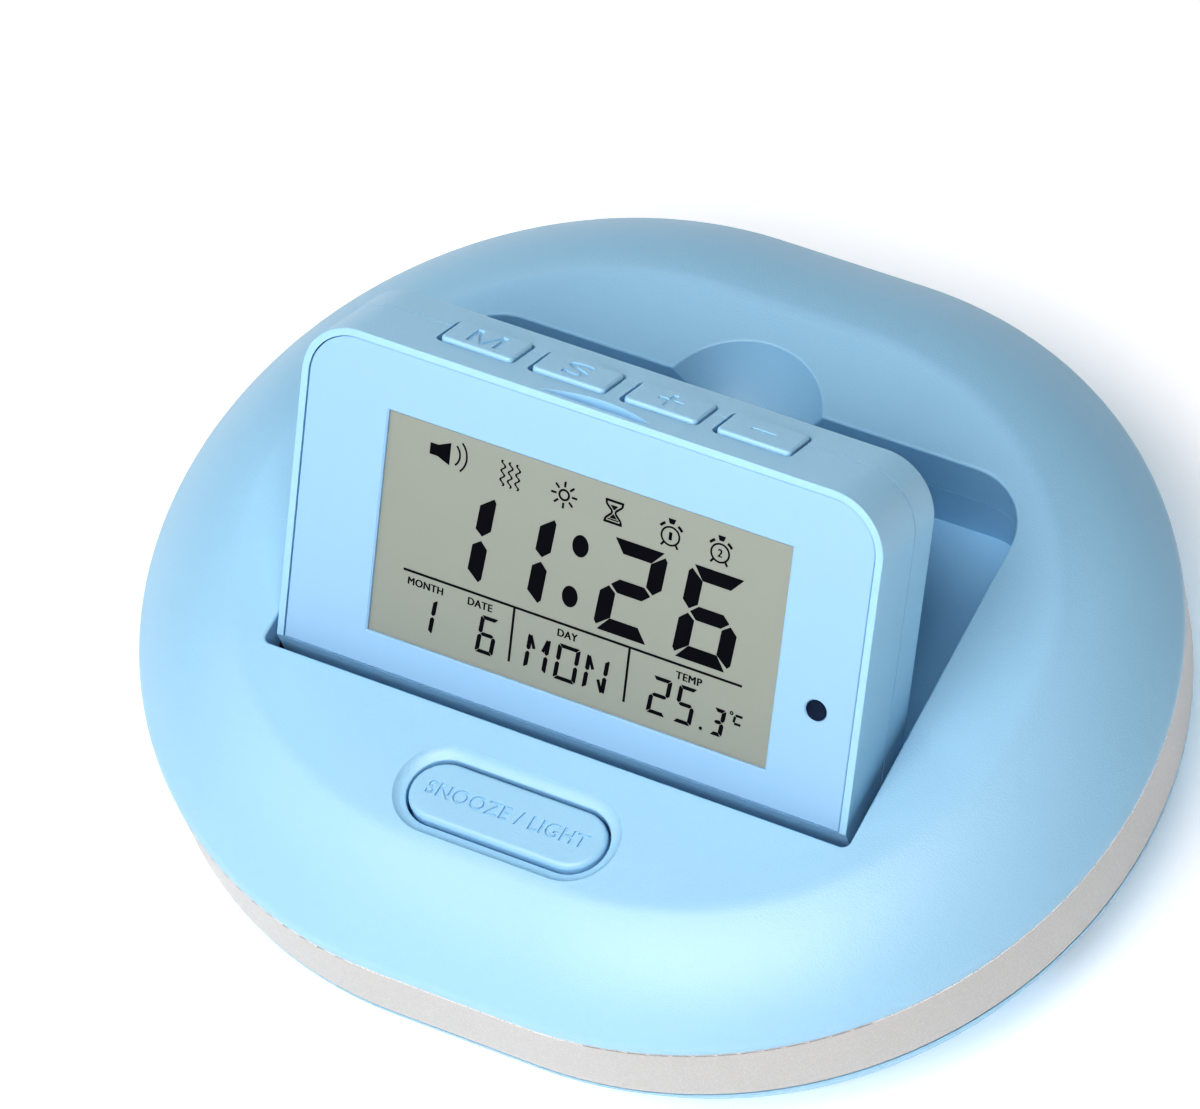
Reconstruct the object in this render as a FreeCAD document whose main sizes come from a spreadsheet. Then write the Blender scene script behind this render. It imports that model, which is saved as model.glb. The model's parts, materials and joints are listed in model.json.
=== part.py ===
import FreeCAD, Part
import math
import os
import re

import Sketcher

# Runaway alarm clock: an obround two-wheeled base with a well in its deck, and a display block that
# folds back into the well. Millimetres. +Z is up, the front is -Y, and the origin is on the floor
# under the middle of the base.

V = FreeCAD.Vector
doc = FreeCAD.newDocument("RunawayAlarmClock")

# ---------------------------------------------------------------- driving dimensions
DIMENSIONS = {
    # base outline: an obround, two round ends joined by short straight sides
    "end_radius": 55.0, "end_offset": 10.0, "skin": 2.0, "rib": 1.5, "gap": 0.15,
    # heights above the floor
    "belly": 3.5, "sill_top": 12.75, "band_low": 13.0, "band_high": 23.4, "foot_low": 23.55,
    "rim_low": 24.55, "deck": 33.7,
    # bottom shell, trim band and top cover sections
    "belly_round": 5.3, "belly_slope": 20.0, "belly_inset": 0.85, "sill_lip": 0.5, "seam_inset": 0.1,
    "tub_radius": 53.3, "tub_wall": 1.5, "tub_round": 4.5, "band_flare": 0.3, "band_edge": 0.35,
    "crease_radius": 41.4, "rim_bulge": 26.0, "crease_round": 7.0, "lip_round": 0.4,
    # display well and finger scoop
    "well_half": 39.75, "well_front": -24.1, "well_rear": 28.6, "well_corner": 8.5, "well_depth": 15.7,
    "well_nook": 2.0, "skirt_depth": 7.85, "scoop_ball": 12.0, "scoop_lift": 5.0, "scoop_back": 25.0,
    # display block, in its own frame: X across, Y up the face, Z out of the face, origin on the hinge
    "lean": 55.9, "hinge_back": -18.47, "block_half": 38.75, "block_top": 46.35, "block_thick": 14.05,
    "block_corner": 7.2, "block_wall": 1.5, "housing_depth": 8.3, "front_edge": 0.12,
    "rear_edge": 0.9, "foot_edge": 3.25, "foot_slope": 38.0, "foot_deep": 3.0,
    "plate_inset": 0.93, "plate_gap": 0.14, "plate_sunk": 0.1, "plate_thick": 1.6,
    "plate_low": 3.11, "plate_lip": 0.45, "plate_edge": 0.1, "window_edge": 0.2,
    "window_left": -26.7, "window_right": 27.3, "window_low": 7.85, "window_high": 37.45,
    "screen_margin": 1.8, "screen_low": 4.2, "screen_high": 39.4, "screen_back": 3.275,
    "sensor_across": 32.8, "sensor_up": 17.75, "sensor_radius": 1.35, "pin_radius": 2.0,
    "pin_fit": 0.07, "case_low": 8.5, "case_high": 34.0, "case_inset": 5.1,
    # the thumb notch in the block's top edge
    "notch_radius": 14.24, "notch_centre": 18.5, "notch_lip": 6.39, "notch_shallow": 0.6,
    "notch_deep": 1.3,
    # keys along the block's top edge
    "key_pitch": 12.3, "key_wide": 9.7, "key_deep": 5.6, "key_gap": 0.4, "key_shift": 0.15,
    "key_back": 7.2, "key_proud": 0.45, "key_round": 0.9, "key_edge": 0.35, "key_flange": 0.7,
    "key_travel": 0.6,
    # snooze button in its dish
    "snooze_across": -0.4, "snooze_back": -34.6, "snooze_offset": 8.75, "snooze_radius": 4.25,
    "snooze_gap": 0.35, "dish_wide": 1.5, "dish_deep": 0.9, "snooze_top": 33.85, "snooze_tilt": 7.0,
    "snooze_travel": 1.0,
    # wheels, axles and gears
    "wheel_radius": 13.0, "wheel_in": 49.2, "wheel_wide": 7.8, "rim_radius": 10.0, "axle_radius": 1.5,
    "tooth_size": 0.5, "wheel_teeth": 32, "idler_small": 10, "idler_large": 30, "pinion_teeth": 8,
    "idler_rise": 12.0, "motor_fall": -26.0, "plate_in": 41.9, "plate_out": 47.3, "gear_in": 43.4,
    "gear_out": 45.2, "gear_wide": 1.5,
    # casters
    "caster_reach": 42.0, "ball_radius": 5.0, "ball_gap": 0.15, "cup_radius": 7.2, "ring_radius": 6.6,
    # batteries
    "cell_radius": 5.25, "cell_long": 44.5, "cell_pitch": 11.2, "bay_half": 25.6, "bay_front": -22.6,
    "bay_rear": 11.0, "bay_wall": 1.2, "door_thick": 1.6, "door_gap": 0.3,
    # fasteners and boards
    "boss_across": 36.0, "boss_back": 33.0, "boss_radius": 3.0, "screw_radius": 1.2,
    "board_half": 24.0, "board_front": -48.5, "board_rear": -29.0, "board_low": 22.4,
    "board_thick": 1.2,
    "speaker_across": -19.5, "speaker_back": -36.0, "speaker_radius": 11.5,
}
sheet = doc.addObject("Spreadsheet::Sheet", "dims")
for row, (alias, number) in enumerate(DIMENSIONS.items(), 1):
    sheet.set("A%d" % row, str(number))
    sheet.setAlias("A%d" % row, alias)
doc.recompute()


def bound(expression):
    """An expression in the sheet's own words, such as "deck - skin", ready for setExpression."""
    return re.sub(r"[a-z_]+", lambda word: "dims." + word[0] if word[0] in DIMENSIONS else word[0],
                  str(expression))


def size(expression):
    """The number that an expression in the sheet's words stands for."""
    return float(sheet.evalExpression(bound(expression)))


# ---------------------------------------------------------------- PartDesign helpers
def new_body(name):
    return doc.addObject("PartDesign::Body", name)


def origin_plane(body, role):
    return next(item for item in body.Origin.OriginFeatures if item.Role == role)


def new_sketch(body, role, shift=("0", "0", "0"), turn=0):
    """An empty sketch on one of the body's own planes, moved by shift in the sketch's own axes."""
    sketch = body.newObject("Sketcher::SketchObject", body.Name + "_sketch")
    sketch.AttachmentSupport = [(origin_plane(body, role), "")]
    sketch.MapMode = "FlatFace"
    sketch.AttachmentOffset = FreeCAD.Placement(V(0, 0, 0), FreeCAD.Rotation(V(0, 0, 1), turn))
    for axis, amount in zip("xyz", shift):
        sketch.setExpression("AttachmentOffset.Base." + axis, bound(amount))
    return sketch


def pin_point(sketch, curve, end, across, up):
    """Hold one end of a curve at two bound distances from the sketch's origin."""
    for kind, axis, amount in (("DistanceX", -2, across), ("DistanceY", -1, up)):
        number = size(amount)
        if abs(number) < 1e-9:
            sketch.addConstraint(Sketcher.Constraint("PointOnObject", curve, end, axis))
            continue
        index = sketch.addConstraint(Sketcher.Constraint(kind, -1, 1, curve, end, number))
        sketch.setExpression("Constraints[%d]" % index, bound(amount))


def outline(sketch, corners):
    """A closed outline. A corner is (across, up) or (across, up, radius): with a radius, the run to
    the next corner is an arc, which bulges to the right of the run for a positive radius."""
    points = [V(size(corner[0]), size(corner[1]), 0) for corner in corners]
    first = sketch.GeometryCount
    for index, corner in enumerate(corners):
        start, stop = points[index], points[(index + 1) % len(points)]
        if len(corner) == 2:
            sketch.addGeometry(Part.LineSegment(start, stop))
            continue
        radius = size(corner[2])
        chord = stop - start
        right = V(chord.y, -chord.x, 0).normalize()
        sag = abs(radius) - math.sqrt(max(radius ** 2 - chord.Length ** 2 / 4, 0))
        middle = (start + stop) * 0.5 + right * math.copysign(sag, radius)
        sketch.addGeometry(Part.ArcOfCircle(start, middle, stop))
    count = len(corners)
    ends = []
    for index, corner in enumerate(corners):
        curve = first + index
        flipped = len(corner) == 3 and not same_point(sketch.getPoint(curve, 1), points[index])
        ends.append((2, 1) if flipped else (1, 2))
    for index, corner in enumerate(corners):
        following = (index + 1) % count
        sketch.addConstraint(Sketcher.Constraint("Coincident", first + index, ends[index][1],
                                                 first + following, ends[following][0]))
        pin_point(sketch, first + index, ends[index][0], corner[0], corner[1])
        if len(corner) == 3:
            number = abs(size(corner[2]))
            at = sketch.addConstraint(Sketcher.Constraint("Radius", first + index, number))
            sketch.setExpression("Constraints[%d]" % at, bound("abs(%s)" % corner[2]))
    return sketch


def same_point(one, other):
    return (one - other).Length < 1e-6


def pad(body, sketch, length, midplane=False, reverse=False, cut=False):
    feature = body.newObject("PartDesign::Pocket" if cut else "PartDesign::Pad", body.Name + "_run")
    feature.Profile = sketch
    feature.setExpression("Length", bound(length))
    feature.Midplane = midplane
    feature.Reversed = reverse
    return feature


def spin(body, sketch, degrees=360, cut=False, axis="V_Axis"):
    kind = "PartDesign::Groove" if cut else "PartDesign::Revolution"
    feature = body.newObject(kind, body.Name + "_spin")
    feature.Profile = sketch
    feature.ReferenceAxis = (sketch, [axis])
    feature.Angle = degrees
    feature.Midplane = degrees < 360
    return feature


def mirrored(corners):
    """The same outline on the other side of the upright axis, so its arcs bulge the other way."""
    return [("-(%s)" % corner[0], corner[1]) + tuple("-(%s)" % radius for radius in corner[2:])
            for corner in corners]


def obround(body, section, offset, across="0", back="0", cut=False):
    """Sweep a half section round an obround: a half turn at each end and a straight run each side."""
    for sign, half in ((1, section), (-1, mirrored(section))):
        side = new_sketch(body, "YZ_Plane", (back, "0", across))
        pad(body, outline(side, half), "2 * (%s)" % offset, midplane=True, cut=cut)
        end = new_sketch(body, "XZ_Plane",
                         ("%s + %d * (%s)" % (across, sign, offset), "0", "-(%s)" % back))
        spin(body, outline(end, half), 180, cut)


def rounded(left, front, right, rear, front_radius, rear_radius):
    """The corners of a rectangle whose front and rear corners are rounded."""
    low, high = "(%s)" % front_radius, "(%s)" % rear_radius
    return [(left + "+" + low, front), (right + "-" + low, front, low),
            (right, front + "+" + low), (right, rear + "-" + high, high),
            (right + "-" + high, rear), (left + "+" + high, rear, high),
            (left, rear + "-" + high), (left, front + "+" + low, low)]


def rectangle(left, front, right, rear):
    return [(left, front), (right, front), (right, rear), (left, rear)]


def edge_names(shape, wanted):
    return ["Edge%d" % (index + 1) for index, edge in enumerate(shape.Edges) if wanted(edge)]


def soften(body, radius, wanted, kind="PartDesign::Fillet"):
    """Round or chamfer the edges of the body's last feature that wanted() picks."""
    doc.recompute()
    names = edge_names(body.Tip.Shape, wanted)
    if not names:
        raise ValueError("no edge to soften on " + body.Name)
    last = body.Tip
    feature = body.newObject(kind, body.Name + "_soft")
    feature.Base = (last, names)
    feature.setExpression("Radius" if kind.endswith("Fillet") else "Size", bound(radius))
    return feature


# ---------------------------------------------------------------- Part helpers
def serial(kind):
    return "%s_%d" % (kind, len(doc.Objects))


def set_base(item, base):
    for axis, amount in zip("xyz", base):
        item.setExpression("Placement.Base." + axis, bound(amount))


def block(low, extent):
    """A Part::Box from its low corner and its extent, both as expressions."""
    item = doc.addObject("Part::Box", serial("block"))
    for name, amount in zip(("Length", "Width", "Height"), extent):
        item.setExpression(name, bound(amount))
    set_base(item, low)
    return item


AXES = {"x": V(1, 0, 0), "y": V(0, 1, 0), "z": V(0, 0, 1)}


def rod(radius, length, base, axis="z"):
    """A Part::Cylinder whose base centre is at base and which runs along an axis."""
    item = doc.addObject("Part::Cylinder", serial("rod"))
    item.setExpression("Radius", bound(radius))
    item.setExpression("Height", bound(length))
    item.Placement.Rotation = FreeCAD.Rotation(V(0, 0, 1), AXES[axis])
    set_base(item, base)
    return item


def cone(radius_low, radius_high, length, base, axis="z"):
    item = doc.addObject("Part::Cone", serial("cone"))
    item.setExpression("Radius1", bound(radius_low))
    item.setExpression("Radius2", bound(radius_high))
    item.setExpression("Height", bound(length))
    item.Placement.Rotation = FreeCAD.Rotation(V(0, 0, 1), AXES[axis])
    set_base(item, base)
    return item


def ball(radius, centre):
    item = doc.addObject("Part::Sphere", serial("ball"))
    item.setExpression("Radius", bound(radius))
    set_base(item, centre)
    return item


def fuse(*items):
    if len(items) == 1:
        return items[0]
    joined = doc.addObject("Part::MultiFuse", serial("fuse"))
    joined.Shapes = list(items)
    joined.Refine = True
    return joined


def cut(base, *tools):
    item = doc.addObject("Part::Cut", serial("cut"))
    item.Base = base
    item.Tool = fuse(*tools)
    item.Refine = True
    return item


def group(*items):
    """Separate solids kept side by side in one node."""
    item = doc.addObject("Part::Compound", serial("group"))
    item.Links = list(items)
    return item


nodes = {}


def node(name, item, on_display=False):
    """Register a finished sub-part. One on the display is turned and carried to its hinge."""
    item.Label = name
    if on_display:
        item.setExpression("Placement.Rotation.Angle", bound("lean"))
        item.Placement.Rotation = FreeCAD.Rotation(V(1, 0, 0), size("lean"))
        set_base(item, ("0", "hinge_back", "deck - block_thick / 2"))
    nodes[name] = item
    return item


# ---------------------------------------------------------------- base: covers, band and well
def level(height, tolerance=0.01):
    """A test for edges that lie flat at one height."""
    def wanted(edge):
        box = edge.BoundBox
        return abs(box.ZMin - size(height)) < tolerance and abs(box.ZMax - size(height)) < tolerance
    return wanted


def make_top_cover():
    """The deck and its convex rim, with the well's skirt, the scoop and the snooze dish."""
    body = new_body("top_cover")
    outer = "end_radius + band_flare"
    section = [("0", "deck - skin"), ("crease_radius - 0.5", "deck - skin", "-(rim_bulge - skin)"),
               (outer + "- 1.8", "foot_low"), (outer, "foot_low"), (outer, "rim_low", "rim_bulge"),
               ("crease_radius", "deck"), ("0", "deck")]
    obround(body, section, "end_offset")

    def on_crease(edge):
        box = edge.BoundBox
        return (level("deck")(edge) and abs(box.XMin) + abs(box.YMin) > 1 and
                max(abs(box.YMin), abs(box.YMax), abs(box.XMax), abs(box.XMin)) > size("crease_radius") - 0.1)
    soften(body, "crease_round", on_crease)
    soften(body, "2.5", level("rim_low"))

    # the well's skirt hangs from the deck; its front wall stands forward of the deck's lip
    skirt = rounded("-well_half - rib", "well_front - well_nook - rib", "well_half + rib",
                    "well_rear + rib", "rib", "well_corner + rib")
    pad(body, outline(new_sketch(body, "XY_Plane", ("0", "0", "deck - skirt_depth + gap / 2")), skirt),
        "skirt_depth - skin / 2")
    # a collar under the snooze hole, and posts for the case screws and the board
    collar = [("0", "deck - dish_deep - 3.6"), ("snooze_radius + snooze_gap + 1.2",
              "deck - dish_deep - 3.6"), ("snooze_radius + snooze_gap + dish_wide + 1", "deck - skin / 2"),
              ("0", "deck - skin / 2")]
    obround(body, collar, "snooze_offset", "snooze_across", "snooze_back")
    for across in (-1, 1):
        for back in (-1, 1):
            post(body, "%d * boss_across" % across, "%d * boss_back" % back, "boss_radius",
                 "12.1", "31.9", "screw_radius", "14")
        for back, high in (("board_front + 4", "30.3"), ("board_rear - 2.5", "deck - skin / 2")):
            post(body, "%d * (board_half - 5)" % across, back, "2.2", "board_low + board_thick", high,
                 "0.8", "5")

    # the finger scoop's bowl, kept above the skirt's lower edge
    bowl, cap = "(scoop_ball + skin * 0.75)", "(scoop_lift + skin / 2)"
    foot = "(scoop_lift + skirt_depth - gap / 2)"
    scoop = new_sketch(body, "XZ_Plane", ("0", "deck + scoop_lift", "-scoop_back"))
    spin(body, outline(scoop, [("0", "-" + foot), ("sqrt(%s^2 - %s^2)" % (bowl, foot), "-" + foot, bowl),
                               ("sqrt(%s^2 - %s^2)" % (bowl, cap), "-" + cap), ("0", "-" + cap)]))

    # the opening through the deck, and the wider pocket below the lip
    opening = rounded("-well_half", "well_front", "well_half", "well_rear", "1", "well_corner")
    pad(body, outline(new_sketch(body, "XY_Plane", ("0", "0", "deck + 1")), opening), "20", cut=True)
    nook = rounded("-well_half", "well_front - well_nook", "well_half", "well_rear", "1", "well_corner")
    pad(body, outline(new_sketch(body, "XY_Plane", ("0", "0", "deck - skin")), nook), "20", cut=True)

    # the scoop itself, a dish cut by a ball whose centre is above the deck
    scoop = new_sketch(body, "XZ_Plane", ("0", "deck + scoop_lift", "-scoop_back"))
    spin(body, outline(scoop, [("0", "-scoop_ball", "scoop_ball"), ("scoop_ball", "0"), ("0", "0")]),
         360, cut=True)

    # rounded lips on the deck's opening, the scoop, and where the scoop meets the well's rear wall
    def on_lip(edge):
        box, middle = edge.BoundBox, edge.CenterOfMass
        if box.ZMin > size("deck") - 0.02:
            return abs(middle.x) < size("well_half + 0.1") and size("well_front - 0.1") < middle.y < 36.5
        on_wall = abs(middle.y - size("well_rear")) < 0.01 and abs(middle.x) < 0.1
        upright = size("deck - skirt_depth") < box.ZMin < size("deck - 5")
        return on_wall and upright and box.ZMax > size("deck") - 0.1
    soften(body, "lip_round", on_lip)

    # the snooze dish and hole
    hole = "snooze_radius + snooze_gap"
    dish = [("0", "deck - dish_deep"), (hole, "deck - dish_deep", "dish_wide * 1.5"),
            (hole + "+ dish_wide", "deck"), (hole + "+ dish_wide", "deck + 1"), ("0", "deck + 1")]
    obround(body, dish, "snooze_offset", "snooze_across", "snooze_back", cut=True)
    shaft = [("0", "deck - 8"), (hole, "deck - 8"), (hole, "deck"), ("0", "deck")]
    obround(body, shaft, "snooze_offset", "snooze_across", "snooze_back", cut=True)
    soften(body, "0.25", level("deck - dish_deep"))

    # seats for the hinge pins, open below so that the block drops in
    seat = new_sketch(body, "YZ_Plane", ("hinge_back", "deck - block_thick / 2", "0"))
    bore = "pin_radius + pin_fit"
    low = "-(%s)" % bore
    pad(body, outline(seat, [(bore, "0", bore), ("0", bore, bore), (low, "0"), (low, "-8"), (bore, "-8")]),
        "2 * (well_half + 4)", midplane=True, cut=True)
    return body


def post(body, across, back, radius, low, high, bore, bore_deep):
    """A round post hanging from the deck, with a blind pilot hole up its middle."""
    disc = new_sketch(body, "XY_Plane", (across, back, low))
    pad(body, circle(disc, radius), "(%s) - (%s)" % (high, low))
    pilot = new_sketch(body, "XY_Plane", (across, back, low))
    pad(body, circle(pilot, bore), bore_deep, cut=True, reverse=True)


def circle(sketch, radius):
    sketch.addGeometry(Part.Circle(V(0, 0, 0), V(0, 0, 1), size(radius)))
    sketch.addConstraint(Sketcher.Constraint("Coincident", 0, 3, -1, 1))
    sketch.addConstraint(Sketcher.Constraint("Radius", 0, size(radius)))
    sketch.setExpression("Constraints[1]", bound(radius))
    return sketch


def make_trim_band():
    """The satin band clipped round the tub between the rim and the sill."""
    body = new_body("trim_band")
    section = [("tub_radius + gap", "band_low"), ("end_radius", "band_low"),
               ("end_radius + band_flare", "band_high"), ("tub_radius + gap", "band_high")]
    obround(body, section, "end_offset")

    def on_outer_edge(edge):
        if not (level("band_low")(edge) or level("band_high")(edge)):
            return False
        box = edge.BoundBox
        return max(abs(box.YMin), abs(box.YMax), abs(box.XMin), abs(box.XMax)) > size("end_radius") - 0.5
    soften(body, "band_edge", on_outer_edge)
    return body


def make_well_tray():
    """The lower walls and floor of the well, under the cover's skirt."""
    body = new_body("well_tray")
    low = "deck - well_depth - rib"
    outside = rounded("-well_half - rib", "well_front - well_nook - rib", "well_half + rib",
                      "well_rear + rib", "rib", "well_corner + rib")
    pad(body, outline(new_sketch(body, "XY_Plane", ("0", "0", low)), outside),
        "well_depth + rib - skirt_depth - gap / 2")
    inside = rounded("-well_half", "well_front - well_nook", "well_half", "well_rear", "1", "well_corner")
    pad(body, outline(new_sketch(body, "XY_Plane", ("0", "0", "deck")), inside), "well_depth", cut=True)
    seat = new_sketch(body, "YZ_Plane", ("hinge_back", "deck - block_thick / 2", "0"))
    pad(body, circle(seat, "pin_radius + pin_fit"), "2 * (well_half + 4)", midplane=True, cut=True)
    return body


def make_bottom_shell():
    """The sill, belly and inner tub, with bosses, battery bay, wheel slots, cups and speaker holes."""
    body = new_body("bottom_shell")
    sill, flank = "end_radius - seam_inset", "(end_radius - belly_inset)"
    slope = "(belly_slope * 1deg)"
    lip_foot = "(sill_top - sill_lip)"
    bend_up = "(belly + belly_round * (1 - sin(%s)))" % slope
    bend = "(%s - (%s - seam_inset - %s) * tan(%s))" % (flank, lip_foot, bend_up, slope)
    wall, tub_top = "(tub_radius - tub_wall)", "band_high - 0.4"
    section = [("0", "belly"), (bend + "- belly_round * cos(%s)" % slope, "belly", "belly_round"),
               (bend, bend_up), (flank, lip_foot + "- seam_inset"), (sill, lip_foot),
               (sill, "sill_top"), ("tub_radius", "sill_top"), ("tub_radius", tub_top), (wall, tub_top),
               (wall, "belly + skin + tub_round", "-tub_round"), (wall + "- tub_round", "belly + skin"),
               ("0", "belly + skin")]
    obround(body, section, "end_offset")
    floor = "belly + skin / 2"

    def raised(corners, high):
        base = new_sketch(body, "XY_Plane", ("0", "0", floor))
        pad(body, outline(base, corners), "%s - (%s)" % (high, floor))

    def sunk(corners, high="belly + skin + 0.5"):
        pad(body, outline(new_sketch(body, "XY_Plane", ("0", "0", high)), corners), "20", cut=True)

    # battery bay walls, then the bay right through
    raised(rounded("-bay_half - bay_wall", "bay_front - bay_wall", "bay_half + bay_wall",
                   "bay_rear + bay_wall", "bay_wall", "bay_wall"), "16.0")
    sunk(rounded("-bay_half", "bay_front", "bay_half", "bay_rear", "0.8", "0.8"), "18")
    sunk(rectangle("-5.4", "bay_front - 2.6", "5.4", "bay_front + 1"), "belly + door_thick + 0.3")
    hinge = new_sketch(body, "YZ_Plane", ("bay_rear - door_gap - door_thick / 2",
                                          "belly + 0.1 + door_thick / 2", "0"))
    pad(body, circle(hinge, "0.57"), "2 * bay_half + 1.8", midplane=True, cut=True)
    # wheel slots
    for left, right in (("-wheel_in - wheel_wide - 1.2", "-wheel_in + 1.2"),
                        ("wheel_in - 1.2", "wheel_in + wheel_wide + 1.2")):
        sunk(rounded(left, "-13.2", right, "13.2", "2", "2"), "belly + skin + 1.6")
    # a shallow trough under each wheel gear
    for left, right in (("-gear_out - gear_wide - 0.3", "-gear_out + 0.3"),
                        ("gear_out - 0.3", "gear_out + gear_wide + 0.3")):
        trough = new_sketch(body, "XY_Plane", ("0", "0", "belly + skin + 0.5"))
        pad(body, outline(trough, rectangle(left, "-4.2", right, "4.2")), "1.8", cut=True)
    # bosses for the case screws
    for across in (-1, 1):
        for back in (-1, 1):
            place = ("%d * boss_across" % across, "%d * boss_back" % back)
            pad(body, circle(new_sketch(body, "XY_Plane", place + (floor,)), "4.4"), "12 - (%s)" % floor)
            pad(body, circle(new_sketch(body, "XY_Plane", place + ("20",)), "screw_radius + 0.2"), "20",
                cut=True)
            pad(body, circle(new_sketch(body, "XY_Plane", place + ("8.5",)), "2.9"), "8", cut=True)
    # caster cups
    for back in (-1, 1):
        reach = "%d * caster_reach" % back
        pad(body, circle(new_sketch(body, "XY_Plane", ("0", reach, floor)), "cup_radius"),
            "ball_radius * 2 + 1.5 - (%s)" % floor)
        pad(body, circle(new_sketch(body, "XY_Plane", ("0", reach, "ball_radius")), "ring_radius + 0.05"),
            "8", cut=True)
        hollow = new_sketch(body, "XZ_Plane", ("0", "ball_radius", "-(%s)" % reach))
        radius = "ball_radius + ball_gap"
        spin(body, outline(hollow, [("0", "-(%s)" % radius, radius), (radius, "0", radius), ("0", radius)]),
             360, cut=True)
    # speaker seat and sound holes
    place = ("speaker_across", "speaker_back")
    pad(body, circle(new_sketch(body, "XY_Plane", place + (floor,)), "speaker_radius"), "6.2 - (%s)" % floor)
    pad(body, circle(new_sketch(body, "XY_Plane", place + ("7",)), "speaker_radius - 1.5"), "1.5", cut=True)
    grille = new_sketch(body, "XY_Plane", place + ("8",))
    for ring, count in ((0, 1), (3.0, 6), (6.0, 12)):
        for step in range(count):
            turn = 2 * math.pi * step / count
            grille.addGeometry(Part.Circle(V(ring * math.cos(turn), ring * math.sin(turn), 0),
                                           V(0, 0, 1), 0.8))
    pad(body, grille, "8", cut=True)
    return body


top_cover = node("top_cover", make_top_cover())
trim_band = node("trim_band", make_trim_band())
well_tray = node("well_tray", make_well_tray())
bottom_shell = node("bottom_shell", make_bottom_shell())


# ---------------------------------------------------------------- display block
def block_outline(inset, low):
    """The block's face outline, set in from its edges, down to a height on the face."""
    half, top = "(block_half - (%s))" % inset, "(block_top - (%s))" % inset
    corner = "(block_corner - (%s))" % inset
    return [("-" + half, low), (half, low), (half, top + "-" + corner, corner),
            (half + "-" + corner, top), (corner + "-" + half, top, corner),
            ("-" + half, top + "-" + corner)]


def round_barrel(body):
    """Trim the block's foot to a half round about the hinge line."""
    radius = "(block_thick / 2)"
    low, far, near = "-" + radius, "-(%s + 1)" % radius, "%s + 1" % radius
    waste = [("0", radius, radius), (low, "0", radius), ("0", low), ("0", far), (far, far),
             (far, near), ("0", near)]
    pad(body, outline(new_sketch(body, "YZ_Plane"), waste), "2 * block_half + 4", midplane=True, cut=True)


def case_places():
    """Where the four screws that close the block stand."""
    return [("%d * (block_half - case_inset)" % side, up) for side in (-1, 1)
            for up in ("case_low", "case_high")]


def shell_extras(body, boss_from, boss_high):
    """Screw bosses, key slots and the hinge bore, which both halves of the block share."""
    for place in case_places():
        pad(body, circle(new_sketch(body, "XY_Plane", place + (boss_from,)), "2.4"), boss_high)
    for across in (-1.5, -0.5, 0.5, 1.5):
        slot = new_sketch(body, "XZ_Plane", ("%s * key_pitch" % across, "block_thick / 2 - key_back",
                                             "-(block_top + 1)"))
        half, deep = "key_wide / 2 + key_gap", "key_deep / 2 + key_gap"
        pad(body, outline(slot, rounded("-(%s)" % half, "-(%s)" % deep, half, deep, "key_round",
                                        "key_round")), "block_wall + 1.5", cut=True, reverse=True)
    bore = new_sketch(body, "YZ_Plane")
    pad(body, circle(bore, "pin_radius"), "2 * block_half + 4", midplane=True, cut=True)


def make_display_housing():
    """The block's front half: sides, flat front frame and the ledge behind the face plate."""
    body = new_body("display_front")
    back = "block_thick / 2 - housing_depth"
    pad(body, outline(new_sketch(body, "XY_Plane", ("0", "0", back)), block_outline("0", "-block_thick / 2")),
        "housing_depth")
    round_barrel(body)

    def front_rim(edge):
        box = edge.BoundBox
        return abs(box.ZMin - size("block_thick / 2")) < 0.01 and box.YMax > 1
    soften(body, "front_edge", front_rim)
    # the foot falls away below the face plate
    front, low = "block_thick / 2", "(block_thick / 2 - foot_deep)"
    fall = "(foot_edge - foot_deep / tan(foot_slope * 1deg))"
    waste = [("foot_edge", front), (fall, low), ("-block_thick", low), ("-block_thick", front + "+ 1"),
             ("foot_edge", front + "+ 1")]
    pad(body, outline(new_sketch(body, "YZ_Plane"), waste), "2 * block_half + 4", midplane=True, cut=True)
    seat = "block_thick / 2 - plate_sunk - plate_thick"
    pad(body, outline(new_sketch(body, "XY_Plane", ("0", "0", seat + "- 1.5")),
                      block_outline("block_wall", "3.2")), "20", cut=True)
    pad(body, outline(new_sketch(body, "XY_Plane", ("0", "0", "20")), block_outline("3.2", "4")),
        "40", cut=True)
    pad(body, outline(new_sketch(body, "XY_Plane", ("0", "0", "20")),
                      block_outline("plate_inset", "plate_low")), "20 - (%s)" % seat, cut=True)
    shell_extras(body, back, "housing_depth - plate_thick - 1")
    for place in case_places():
        pilot = new_sketch(body, "XY_Plane", place + (back,))
        pad(body, circle(pilot, "1.05"), "4", cut=True, reverse=True)
    # a notch for the thumb behind the frame's lip: a round wall, and a floor that falls behind the seat
    low = "notch_centre - notch_radius - 1"
    floor = [("block_top + 1", low), ("block_top + 1", "notch_lip"),
             ("block_top - notch_shallow", "notch_lip"), ("block_top - notch_shallow", seat),
             ("block_top - notch_deep", "notch_centre - notch_radius + 0.3"),
             ("block_top - notch_deep", low)]
    wedge = new_body("notch_floor")
    pad(wedge, outline(new_sketch(wedge, "YZ_Plane"), floor), "4 * key_pitch", midplane=True)
    notch = doc.addObject("Part::Common", "notch")
    notch.Base = wedge
    notch.Tool = rod("notch_radius", "4", ("-0.1", "block_top - 2", "notch_centre"), "y")
    return cut(body, notch)


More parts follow.
